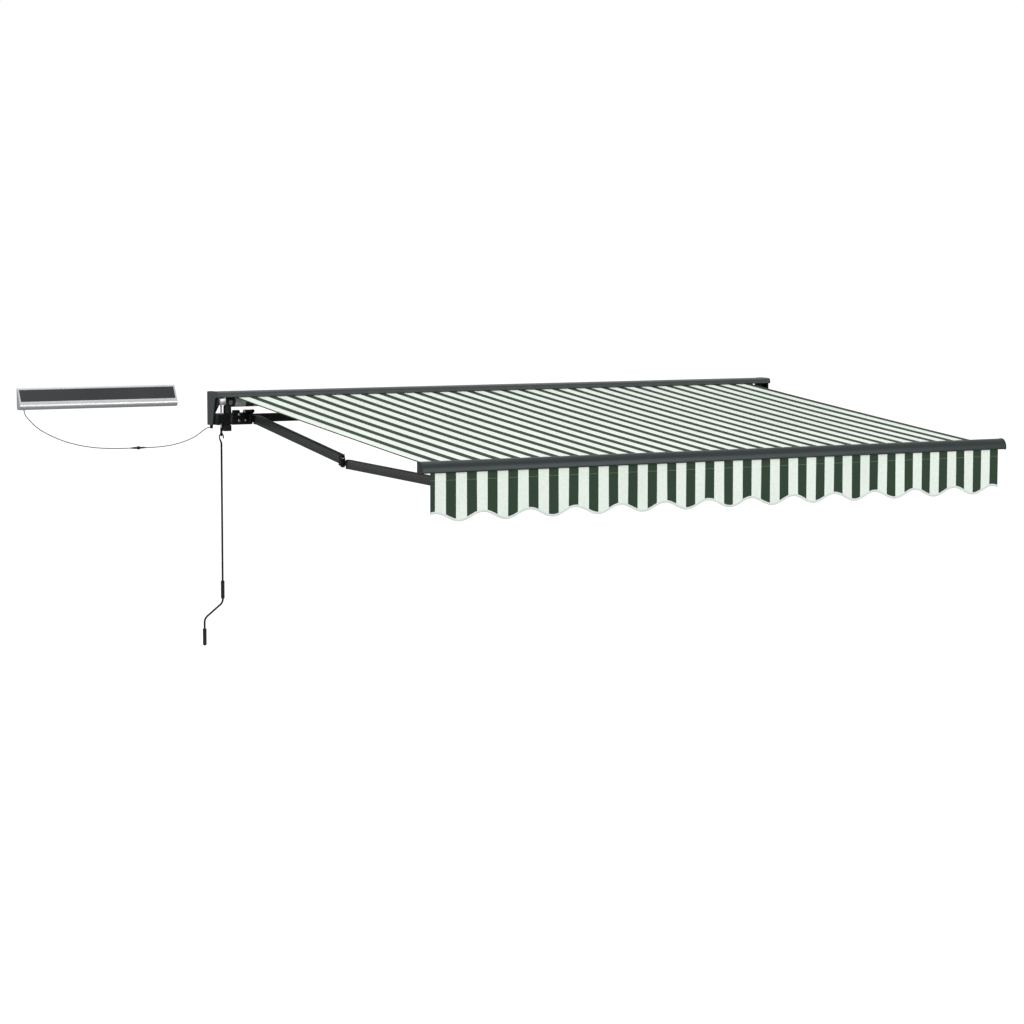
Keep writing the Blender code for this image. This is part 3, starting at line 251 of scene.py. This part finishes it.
def coated(name, colour, roughness, grain=900.0, dust=0.1, depth=0.00004, specular=0.5):
    """Powder coat, paint or moulded plastic with its grain and a little dust."""
    made, shader, surface = new_material(name)
    given = {"Colour": (*colour, 1.0), "Roughness": roughness, "Grain Scale": grain, "Dust": dust}
    out = use_group(shader, POWDER_COAT, **given)
    shader.put(surface.inputs["Base Color"], out["Colour"])
    shader.put(surface.inputs["Roughness"], out["Roughness"])
    surface.inputs["Specular IOR Level"].default_value = specular
    bump(shader, surface, out["Height"], 0.35, depth)
    return made


def drawn_metal(name, colour, roughness, along, stretch=40.0):
    """Bare extruded or turned metal, with fine drawing lines along one axis."""
    made, shader, surface = new_material(name)
    place = shader.add("ShaderNodeMapping")
    scale = [stretch * 20.0] * 3
    scale[along] = stretch * 0.12
    place.inputs["Scale"].default_value = scale
    shader.put(place.inputs["Vector"], shader.add("ShaderNodeTexCoord").outputs["Object"])
    lines = shader.noise(place.outputs[0], 1.0, 3.0, 0.6)
    tint = [shader.spread(lines, 0.3, 0.7, value * 0.9, value * 1.06) for value in colour]
    joined = shader.add("ShaderNodeCombineColor")
    for socket, value in zip(joined.inputs, tint):
        shader.put(socket, value)
    shader.put(surface.inputs["Base Color"], joined.outputs[0])
    rough = shader.spread(lines, 0.3, 0.7, roughness - 0.06, roughness + 0.08)
    shader.put(surface.inputs["Roughness"], rough)
    surface.inputs["Metallic"].default_value = 1.0
    bump(shader, surface, lines, 0.2, 0.00003)
    return made


def striped_canvas(name, stripes, dark, pale, uv=True, stitch=None, threads=900.0):
    """Woven acrylic canvas with its stripes, and on the valance a sewn line of pale stitches."""
    made, shader, surface = new_material(name)
    coordinates = shader.add("ShaderNodeTexCoord")
    place = coordinates.outputs["UV" if uv else "Object"]
    first, period, width = stripes
    mask = use_group(shader, STRIPES, Place=place, First=first, Period=period, Width=width)["Pale"]
    weave = use_group(shader, WEAVE, Place=place, Threads=threads)
    colour = shader.mix(mask, (*dark, 1.0), (*pale, 1.0))
    height = weave["Height"]
    if stitch is not None:
        across, along, _ = shader.split(place)
        from_line = shader.math("ABSOLUTE", shader.math("SUBTRACT", along, stitch))
        near = shader.math("LESS_THAN", from_line, STITCH_HALF_WIDTH)
        dash = shader.math("LESS_THAN", shader.math("FRACT", shader.math("DIVIDE", across, 0.005)), 0.72)
        sewn = shader.math("MULTIPLY", near, dash)
        thread = shader.mix(mask, (*STITCH_ON_DARK, 1.0), (*pale, 1.0))
        colour = shader.mix(sewn, colour, thread)
        height = shader.math("ADD", height, shader.math("MULTIPLY", sewn, 2.0))
    grey = shader.add("ShaderNodeCombineColor")
    for socket in grey.inputs:
        shader.put(socket, weave["Shade"])
    shader.put(surface.inputs["Base Color"], shader.mix(1.0, colour, grey.outputs[0], "MULTIPLY"))
    surface.inputs["Roughness"].default_value = 0.82
    surface.inputs["Specular IOR Level"].default_value = 0.15
    surface.inputs["Sheen Weight"].default_value = 0.03
    surface.inputs["Sheen Roughness"].default_value = 0.5
    bump(shader, surface, height, 0.5, 0.0002)
    return made


CANVAS_DARK = (0.022, 0.038, 0.024)
CANVAS_PALE = (0.715, 0.785, 0.715)
STITCH_ON_DARK = (0.16, 0.20, 0.14)
ANTHRACITE = coated("anthracite powder coat", (0.024, 0.032, 0.033), 0.42, dust=0.04, specular=0.42)
# The front bar and its caps: a darker copy of the anthracite coat, painted shade on the bar.
FRONT_BAR_SHADE_COAT = coated("front bar coat with painted shade", (0.014, 0.022, 0.022), 0.36, dust=0.02, specular=0.3)
ARM_PAINT = coated("arm powder coat", (0.030, 0.033, 0.032), 0.45, dust=0.02, specular=0.4)
CASTING_PAINT = coated(
    "black casting paint", (0.003, 0.0035, 0.004), 0.45, 500.0, 0.01, 0.00008, specular=0.2
)
BLACK_PLASTIC = coated("black moulded plastic", (0.006, 0.006, 0.0065), 0.5, 1200.0, 0.02, specular=0.3)
GRIP_PLASTIC = coated("grip plastic", (0.012, 0.013, 0.013), 0.6, 700.0, 0.03, 0.0001, specular=0.3)
PLAIN_ZINC = drawn_metal("plain zinc", (0.52, 0.53, 0.54), 0.36, 0)
BOLT_STEEL = drawn_metal("plated bolt steel", (0.62, 0.62, 0.63), 0.28, 2, stretch=80.0)
SILVER = drawn_metal("anodised silver", (0.56, 0.57, 0.58), 0.34, 0)
# The roller tube: a darker, rougher copy of the zinc, painted shade under the hood.
TUBE_ZINC_PAINTED_SHADE = drawn_metal("tube zinc with painted shade", (0.30, 0.31, 0.32), 0.42, 0)
# The roll's pale stripes are darker than the canopy's: painted shade from the hood on the same cloth.
ROLLED_CANVAS_PAINTED_SHADE = striped_canvas("rolled canvas with painted hood shade", CANOPY_STRIPES, CANVAS_DARK, (0.42, 0.46, 0.42), uv=False)
CANOPY_CANVAS = striped_canvas("canopy canvas", CANOPY_STRIPES, CANVAS_DARK, CANVAS_PALE)
VALANCE_CANVAS = striped_canvas(
    "valance canvas", VALANCE_STRIPES, (0.026, 0.048, 0.028), CANVAS_PALE, stitch=VALANCE_STITCH_Z
)


def binding_tape():
    """Woven edge tape: pale, with fine ribs across its width."""
    made, shader, surface = new_material("binding tape")
    place = shader.add("ShaderNodeTexCoord").outputs["Object"]
    weave = use_group(shader, WEAVE, Place=place, Threads=700.0)
    grey = shader.add("ShaderNodeCombineColor")
    for socket in grey.inputs:
        shader.put(socket, weave["Shade"])
    shader.put(
        surface.inputs["Base Color"], shader.mix(1.0, (0.60, 0.66, 0.63, 1.0), grey.outputs[0], "MULTIPLY")
    )
    surface.inputs["Roughness"].default_value = 0.8
    bump(shader, surface, weave["Height"], 0.4, 0.0002)
    return made


def solar_laminate():
    """Dark cells under a glossy face: faint thin bus lines, all running one way, on near-black blue-grey."""
    made, shader, surface = new_material("solar laminate")
    place = shader.add("ShaderNodeTexCoord").outputs["Object"]
    across, _, up = shader.split(place)
    line = shader.math("LESS_THAN", shader.math("FRACT", shader.math("DIVIDE", across, 0.0406)), 0.02)
    cell = shader.noise(place, 3.0, 1.0, 0.4)
    shade = shader.spread(cell, 0.3, 0.7, 0.0, 0.35)
    colour = shader.mix(shade, (0.012, 0.015, 0.017, 1.0), (0.018, 0.022, 0.025, 1.0))
    colour = shader.mix(shader.math("MULTIPLY", line, 0.06), colour, (0.10, 0.11, 0.12, 1.0))
    shader.put(surface.inputs["Base Color"], colour)
    shader.put(surface.inputs["Roughness"], shader.spread(cell, 0.3, 0.7, 0.22, 0.32))
    surface.inputs["Coat Weight"].default_value = 0.15
    surface.inputs["Coat Roughness"].default_value = 0.12
    return made


def cable_sheath():
    """Matt grey sheath with a faint grain."""
    made, shader, surface = new_material("cable sheath")
    place = shader.add("ShaderNodeTexCoord").outputs["Object"]
    grain = shader.noise(place, 400.0, 2.0, 0.5)
    colour = shader.mix(grain, (0.012, 0.012, 0.013, 1.0), (0.022, 0.022, 0.023, 1.0))
    shader.put(surface.inputs["Base Color"], colour)
    shader.put(surface.inputs["Roughness"], shader.spread(grain, 0.3, 0.7, 0.45, 0.6))
    bump(shader, surface, grain, 0.3, 0.00005)
    return made


BINDING = binding_tape()
LAMINATE = solar_laminate()
SHEATH = cable_sheath()


# Shapes


def new_object(name, points, faces, finish, smooth=35.0, uv=None):
    """An object at the origin from arrays of points and faces, shaded smooth up to an angle in degrees."""
    mesh = bpy.data.meshes.new(name)
    mesh.from_pydata(np.asarray(points, float).tolist(), [], [list(map(int, face)) for face in faces])
    mesh.materials.append(finish)
    if uv is not None:
        layer = mesh.uv_layers.new(name="cloth")
        corner = np.empty(len(mesh.loops), np.int32)
        mesh.loops.foreach_get("vertex_index", corner)
        layer.data.foreach_set("uv", np.asarray(uv, np.float32)[corner].ravel())
    mesh.shade_smooth()
    if smooth < 180.0:
        mesh.set_sharp_from_angle(angle=math.radians(smooth))
    made = bpy.data.objects.new(name, mesh)
    bpy.context.scene.collection.objects.link(made)
    return made


def grid_faces(rows, columns, closed_rows=False, closed_columns=False, start=0):
    """Quads of a grid whose points are listed row by row."""
    row = np.arange(rows if closed_rows else rows - 1)
    column = np.arange(columns if closed_columns else columns - 1)
    first, second = np.meshgrid(row, column, indexing="ij")
    following_row, following_column = (first + 1) % rows, (second + 1) % columns
    corners = (
        first * columns + second,
        first * columns + following_column,
        following_row * columns + following_column,
        following_row * columns + second,
    )
    return np.stack(corners, axis=-1).reshape(-1, 4) + start


def face_out(made):
    """Recalculates the normals of a closed mesh so that they point outwards."""
    shape = bmesh.new()
    shape.from_mesh(made.data)
    bmesh.ops.recalc_face_normals(shape, faces=shape.faces)
    shape.to_mesh(made.data)
    shape.free()
    return made


def two_sided_sheet(name, middle, normal, thickness, finish, uv):
    """A sheet closed round its edge: middle points plus and minus half the thickness along the normal."""
    rows, columns = middle.shape[:2]
    upper = (middle + normal * thickness / 2).reshape(-1, 3)
    lower = (middle - normal * thickness / 2).reshape(-1, 3)
    count = rows * columns
    faces = [grid_faces(rows, columns), grid_faces(rows, columns, start=count)[:, ::-1]]
    index = np.arange(count).reshape(rows, columns)
    rim = np.concatenate([index[0], index[1:, -1], index[-1, -2::-1], index[-2:0:-1, 0]])
    after = np.roll(rim, -1)
    faces.append(np.stack([rim, rim + count, after + count, after], axis=-1))
    flat_uv = uv.reshape(-1, 2)
    points, both_uv = np.concatenate([upper, lower]), np.concatenate([flat_uv, flat_uv])
    return face_out(new_object(name, points, np.concatenate(faces), finish, 60.0, both_uv))


def turned(name, profile, centre, axis, finish, sides):
    """A profile of (radius r, distance d) turned round an axis: point = centre + r(cos t, sin t) + d."""
    profile = np.asarray(profile, float)
    turn = np.linspace(0.0, 2 * math.pi, sides, endpoint=False)
    rotation = np.array(Vector(axis).normalized().to_track_quat("Z", "Y").to_matrix())
    ring = np.stack([np.cos(turn), np.sin(turn)], axis=-1)
    points = np.concatenate(
        [
            profile[:, None, 0:1] * ring[None],
            np.broadcast_to(profile[:, None, 1:2], (len(profile), sides, 1)),
        ],
        axis=-1,
    )
    points = points.reshape(-1, 3) @ rotation.T + np.asarray(centre, float)
    faces = [list(face) for face in grid_faces(len(profile), sides, closed_columns=True)]
    faces += [list(range(sides))[::-1], list(range((len(profile) - 1) * sides, len(profile) * sides))]
    return face_out(new_object(name, points, faces, finish))


def joined(name, made):
    """Several objects made into one, without merging their points."""
    shape = bmesh.new()
    for piece in made:
        shape.from_mesh(piece.data)
    mesh = bpy.data.meshes.new(name)
    shape.to_mesh(mesh)
    shape.free()
    for finish in made[0].data.materials:
        mesh.materials.append(finish)
    mesh.shade_smooth()
    mesh.set_sharp_from_angle(angle=math.radians(35.0))
    for piece in made:
        bpy.data.objects.remove(piece, do_unlink=True)
    whole = bpy.data.objects.new(name, mesh)
    bpy.context.scene.collection.objects.link(whole)
    return whole


def dressed(node, finish, radius=0.0006, segments=2):
    """A node's own shape with merged points and rounded edges, in place of the faceted node."""
    source = frame["nodes"][node]
    shape = bmesh.new()
    shape.from_mesh(source.data)
    bmesh.ops.remove_doubles(shape, verts=shape.verts, dist=2e-6)
    flat = math.radians(1.0)
    bmesh.ops.dissolve_limit(shape, angle_limit=flat, verts=shape.verts, edges=shape.edges)
    mesh = bpy.data.meshes.new(node + "_form")
    shape.to_mesh(mesh)
    shape.free()
    mesh.materials.append(finish)
    mesh.shade_smooth()
    mesh.set_sharp_from_angle(angle=math.radians(32.0))
    made = bpy.data.objects.new(node + "_form", mesh)
    bpy.context.scene.collection.objects.link(made)
    if radius:
        rounding = made.modifiers.new("rounded edges", "BEVEL")
        rounding.width = radius
        rounding.segments = segments
        rounding.limit_method = "ANGLE"
        rounding.angle_limit = math.radians(32.0)
        rounding.harden_normals = True
    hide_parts(node)
    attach(made, BODY_OF[node])
    return made


SLOT_OF = {entry["node"]: entry["material_slot"] for entry in frame["record"]["subparts"]}
FINISH_OF_SLOT = {
    "anthracite": ANTHRACITE,
    "black_paint": CASTING_PAINT,
    "arm_grey": ARM_PAINT,
    "zinc": PLAIN_ZINC,
    "steel": BOLT_STEEL,
    "black_plastic": BLACK_PLASTIC,
    "silver": SILVER,
    "solar_cells": LAMINATE,
    "grey_cable": SHEATH,
    # The cloth roll: canvas with painted hood shade on its pale stripes.
    "striped_cloth": ROLLED_CANVAS_PAINTED_SHADE,
}
OWN_PIECES = {"canopy", "valance", "cable_panel_side", "cable_awning_side"}
PLAIN_NODES = {"cloth_roll", "arm_spring_left", "arm_spring_right", "roller_tube"}


def dress_nodes():
    """Every rigid node as a rounded copy of itself in its finish; front bar and roller tube finishes carry
    painted shade.
    """
    for node, shown in frame["nodes"].items():
        finish = FINISH_OF_SLOT[SLOT_OF[node]]
        if "grip" in node:
            finish = GRIP_PLASTIC
        # Painted shade: the front bar and its caps take the darker copy of the anthracite coat.
        if node in ("front_bar", "front_bar_cap_left", "front_bar_cap_right"):
            finish = FRONT_BAR_SHADE_COAT
        # Painted shade: the roller tube takes the darker copy of the zinc.
        if node == "roller_tube":
            finish = TUBE_ZINC_PAINTED_SHADE
        shown.data.materials.clear()
        shown.data.materials.append(finish)
        if node in OWN_PIECES or node in PLAIN_NODES:
            continue
        radius = 0.0012 if node in ("hood_end_left", "hood_end_right") else 0.0006
        if node == "crank_rod":
            radius = 0.0
        dressed(node, finish, radius)


# Canopy and valance


def canopy():
    """The taut sheet: with b = sin(pi v), z = line(y) - dip b^0.35 - belly b + ripple b sin(x and v)."""
    across = np.linspace(*CLOTH_X, 373)
    share = np.linspace(0.0, 1.0, 61)
    grid_x, grid_v = np.meshgrid(across, share, indexing="ij")
    start_y, end_y = ROLLER[0] - 0.004, FRONT_BACK_Y - 0.0023
    y = start_y + (end_y - start_y) * grid_v
    top = ROLLER[1] + ROLL_RADIUS + CLOTH_LIFT
    slope = (FRONT_TOP - CLOTH_SLOT_DROP - top) / (FRONT_BACK_Y - ROLLER[0])
    z = top + slope * (np.maximum(y, FRONT_BACK_Y) - ROLLER[0])
    belly = np.maximum(np.sin(math.pi * grid_v), 0.0)
    z -= LIP_DIP * belly**0.35
    z -= CLOTH_BELLY * belly * (1.0 - 0.25 * np.cos(2 * math.pi * grid_x / 1.9))
    z += CLOTH_RIPPLE * belly * np.sin(2 * math.pi * grid_x / 0.62 + 3.0 * grid_v)
    middle = np.stack([grid_x, y, z], axis=-1)
    stretch = math.hypot(1.0, slope)
    normal = np.zeros_like(middle)
    normal[..., 1], normal[..., 2] = -slope / stretch, 1.0 / stretch
    uv = np.stack([grid_x, -y * stretch], axis=-1)
    made = two_sided_sheet("canopy_cloth", middle, normal, CLOTH_THICKNESS, CANOPY_CANVAS, uv)
    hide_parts("canopy")
    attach(made, "front_bar")
    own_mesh(made)
    return made


def valance_low(x):
    """The scalloped edge: low + wave (1 - cos), one turn to a wave length from the first low point."""
    turn = 2 * math.pi * (x - VALANCE_FIRST_LOW) / VALANCE_WAVE_LENGTH
    return VALANCE_LOW + VALANCE_WAVE * (1 - np.cos(turn))


def valance_depth(x, drop):
    """How far the hanging cloth stands out of its plane: soft folds that grow towards the free edge."""
    folds = np.sin(2 * math.pi * x / 0.41 + 0.6) * 0.55 + np.sin(2 * math.pi * x / 0.173 + 1.9) * 0.25
    folds = folds + 0.2 * np.sin(2 * math.pi * x / 0.098)
    return -0.0035 * folds * drop**1.5


def valance():
    """The hanging strip from the front bar's groove to the wave z = low + wave (1 - cos), with soft folds."""
    across = np.linspace(*VALANCE_X, 769)
    share = np.linspace(0.0, 1.0, 25)
    grid_x, grid_v = np.meshgrid(across, share, indexing="ij")
    top = FRONT_TOP - FRONT_HEIGHT + VALANCE_GROOVE_RISE
    low = valance_low(grid_x)
    z = top + (low - top) * grid_v
    y = VALANCE_Y + valance_depth(grid_x, grid_v)
    middle = np.stack([grid_x, y, z], axis=-1)
    normal = np.zeros_like(middle)
    normal[..., 1] = -1.0
    uv = np.stack([grid_x, z], axis=-1)
    made = two_sided_sheet("valance_cloth", middle, normal, VALANCE_THICKNESS, VALANCE_CANVAS, uv)
    bound = binding(across)
    for piece in (made, bound):
        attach(piece, "front_bar")
    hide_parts("valance")
    return made


def binding(across):
    """The tape folded round the scalloped edge: a flat oval section carried along the wave."""
    low = valance_low(across)
    depth = VALANCE_Y + valance_depth(across, 1.0)
    path = np.stack([across, depth, low + BINDING_HEIGHT / 2 - BINDING_LAP], axis=-1)
    turn = np.linspace(0.0, 2 * math.pi, 12, endpoint=False)
    tangent = np.gradient(path, axis=0)
    tangent /= np.linalg.norm(tangent, axis=1, keepdims=True)
    out = np.array([0.0, -1.0, 0.0])
    down = np.cross(tangent, out)
    down /= np.linalg.norm(down, axis=1, keepdims=True)
    flat = np.sign(np.sin(turn)) * np.abs(np.sin(turn)) ** 0.6 * BINDING_HEIGHT / 2
    thick = np.sign(np.cos(turn)) * np.abs(np.cos(turn)) ** 0.7 * BINDING_HALF_THICKNESS
    points = path[:, None] + down[:, None] * flat[None, :, None] + out[None, None] * thick[None, :, None]
    count = len(turn)
    faces = [list(face) for face in grid_faces(len(path), count, closed_columns=True)]
    last = (len(path) - 1) * count
    faces += [list(range(count))[::-1], list(range(last, last + count))]
    return face_out(new_object("valance_binding", points.reshape(-1, 3), faces, BINDING, 50.0))


# Cable


PANEL_RUN = (
    (-3.165, 0.076),
    (-3.165, 0.068),
    (-3.160, 0.056),
    (-3.136, 0.026),
    (-3.088, -0.020),
    (-3.023, -0.060),
    (-2.935, -0.099),
    (-2.839, -0.128),
    (-2.741, -0.146),
    (-2.651, -0.154),
    (-2.560, -0.157),
    (-2.508, -0.157),
)
AWNING_RUN = (
    (-2.411, -0.157),
    (-2.337, -0.156),
    (-2.244, -0.147),
    (-2.160, -0.127),
    (-2.092, -0.100),
    (-2.045, -0.069),
    (-2.017, -0.0525),
    (-2.004, -0.0500),
    (-1.996, -0.0500),
)


def smooth_route(points, spacing=0.012):
    """A Catmull-Rom curve through the points, read at even steps of each span."""
    points = [np.array((x, CABLE_Y, z)) for x, z in points]
    ends = [points[0] * 2 - points[1]] + points + [points[-1] * 2 - points[-2]]
    route = []
    for before, first, second, after in zip(ends, ends[1:], ends[2:], ends[3:]):
        steps = max(1, round(float(np.linalg.norm(second - first)) / spacing))
        t = (np.arange(steps) / steps)[:, None]
        route.append(
            0.5
            * (
                2 * first
                + (second - before) * t
                + (2 * before - 5 * first + 4 * second - after) * t**2
                + (3 * first - before - 3 * second + after) * t**3
            )
        )
    return np.concatenate([*route, points[-1][None]])


def cable():
    """The free lead, one tube from the panel's gland through the in-line connector to the awning's gland."""
    route = np.concatenate([smooth_route(PANEL_RUN), smooth_route(AWNING_RUN)])
    curve = bpy.data.curves.new("cable", "CURVE")
    curve.dimensions = "3D"
    curve.bevel_depth = CABLE_DIAMETER / 2
    curve.bevel_resolution = 4
    curve.use_fill_caps = True
    spline = curve.splines.new("POLY")
    spline.points.add(len(route) - 1)
    spline.points.foreach_set("co", np.column_stack([route, np.ones(len(route))]).ravel())
    spline.use_smooth = True
    curve.materials.append(SHEATH)
    made = bpy.data.objects.new("panel_cable", curve)
    bpy.context.scene.collection.objects.link(made)
    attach(made, "frame")
    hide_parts("cable_panel_side", "cable_awning_side")
    return made


# Fasteners


def bolt_head(place, axis, radius, height):
    """A hexagon head on its washer, with a bevelled crown."""
    axis = Vector(axis).normalized()
    washer = [(radius * 1.25, 0.0), (radius * 1.25, 0.0012), (radius * 0.6, 0.0013)]
    head = [(radius, 0.0), (radius, height * 0.8), (radius * 0.86, height)]
    start = Vector(place) + axis * 0.0010
    return [
        turned("washer", washer, place, axis, BOLT_STEEL, 24),
        turned("bolt head", head, start, axis, BOLT_STEEL, 6),
    ]


def fasteners():
    """The hexagon bolts that show on the shoulder clamps."""
    for side, name in ((-1, "left"), (1, "right")):
        heads = []
        for across, up, size in ((1.833, 0.024, 0.0065), (1.833, -0.012, 0.0065), (1.790, -0.010, 0.006)):
            front = -0.0922 if up < 0.02 else -0.0912
            heads += bolt_head((side * across, front, up), (0, -1, 0), size, 0.006)
        made = joined(f"clamp_bolts_{name}", heads)
        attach(made, "frame")


def input_grooves():
    """Two grip rings turned on each hand grip's ends."""
    for name, body, place, high, low in (
        ("upper", "upper_grip", CRANK[0], -0.9631, -1.0711),
        ("lower", "lower_grip", CRANK[0] - HANDLE_OFFSET, -1.2441, -1.3431),
    ):
        rings = []
        for level in (high - 0.006, high - 0.011, low + 0.011, low + 0.006):
            profile = [(0.0108, 0.0014), (0.0118, 0.0008), (0.0118, -0.0008), (0.0108, -0.0014)]
            rings.append(turned("ring", profile, (place, CRANK[1], level), (0, 0, 1), GRIP_PLASTIC, 28))
        made = joined(f"{name}_grip_rings", rings)
        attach(made, body)


# Stage


def stage():
    """A pale floor far below the awning, an even pale surround, three soft lights and the camera."""
    mesh = bpy.data.meshes.new("floor")
    corners = [(x * FLOOR_HALF, y * FLOOR_HALF, FLOOR_LEVEL) for x, y in ((-1, -1), (1, -1), (1, 1), (-1, 1))]
    mesh.from_pydata(corners, [], [(0, 1, 2, 3)])
    floor = bpy.data.objects.new("floor", mesh)
    bpy.context.scene.collection.objects.link(floor)
    made, shader, surface = new_material("pale floor")
    seen = shader.add("ShaderNodeLightPath").outputs["Is Camera Ray"]
    colour = shader.mix(seen, (0.40, 0.40, 0.40, 1.0), (0.92, 0.92, 0.92, 1.0))
    shader.put(surface.inputs["Base Color"], colour)
    surface.inputs["Roughness"].default_value = 0.9
    surface.inputs["Specular IOR Level"].default_value = 0.0
    surface.inputs["Emission Color"].default_value = (1.0, 1.0, 1.0, 1.0)
    shader.put(surface.inputs["Emission Strength"], shader.math("MULTIPLY", seen, 0.4))
    mesh.materials.append(made)

    world = bpy.data.worlds.new("studio")
    world.use_nodes = True
    bpy.context.scene.world = world
    light = Shader(world.node_tree)
    background = world.node_tree.nodes["Background"]
    background.inputs["Color"].default_value = (1.0, 1.0, 1.0, 1.0)
    background.inputs["Strength"].default_value = 0.75
    shown = light.add("ShaderNodeBackground")
    shown.inputs["Color"].default_value = (1.0, 1.0, 1.0, 1.0)
    shown.inputs["Strength"].default_value = 1.0
    mixed = light.add("ShaderNodeMixShader")
    path = light.add("ShaderNodeLightPath")
    light.tree.links.new(path.outputs["Is Camera Ray"], mixed.inputs[0])
    light.tree.links.new(background.outputs[0], mixed.inputs[1])
    light.tree.links.new(shown.outputs[0], mixed.inputs[2])
    light.tree.links.new(mixed.outputs[0], world.node_tree.nodes["World Output"].inputs["Surface"])

    for name, place, aim, size, power in (
        ("key", (-7.0, -9.0, 7.5), (0.0, -1.5, 0.0), 6.0, 600.0),
        ("fill", (5.0, -13.0, 1.0), (0.3, -1.5, -0.2), 7.0, 520.0),
        ("top", (0.0, -1.5, 8.0), (0.0, -1.2, 0.0), 6.0, 130.0),
    ):
        lamp = bpy.data.lights.new(name, "AREA")
        lamp.size = size
        lamp.energy = power
        lit = bpy.data.objects.new(name, lamp)
        lit.location = place
        lit.rotation_euler = (Vector(aim) - Vector(place)).to_track_quat("-Z", "Y").to_euler()
        bpy.context.scene.collection.objects.link(lit)

    camera = bpy.data.cameras.new("camera")
    camera.sensor_width = 36.0
    camera.lens = 101.708
    camera.clip_end = 300.0
    holder = bpy.data.objects.new("camera", camera)
    holder.location = (-9.154, -15.828, 0.950)
    holder.rotation_euler = (math.radians(90.0 - 4.994), 0.0, -math.radians(30.343))
    bpy.context.scene.collection.objects.link(holder)
    bpy.context.scene.camera = holder
    bpy.context.scene.view_settings.view_transform = "Standard"


stage()
dress_nodes()
cable()
canopy()
valance()
fasteners()
input_grooves()
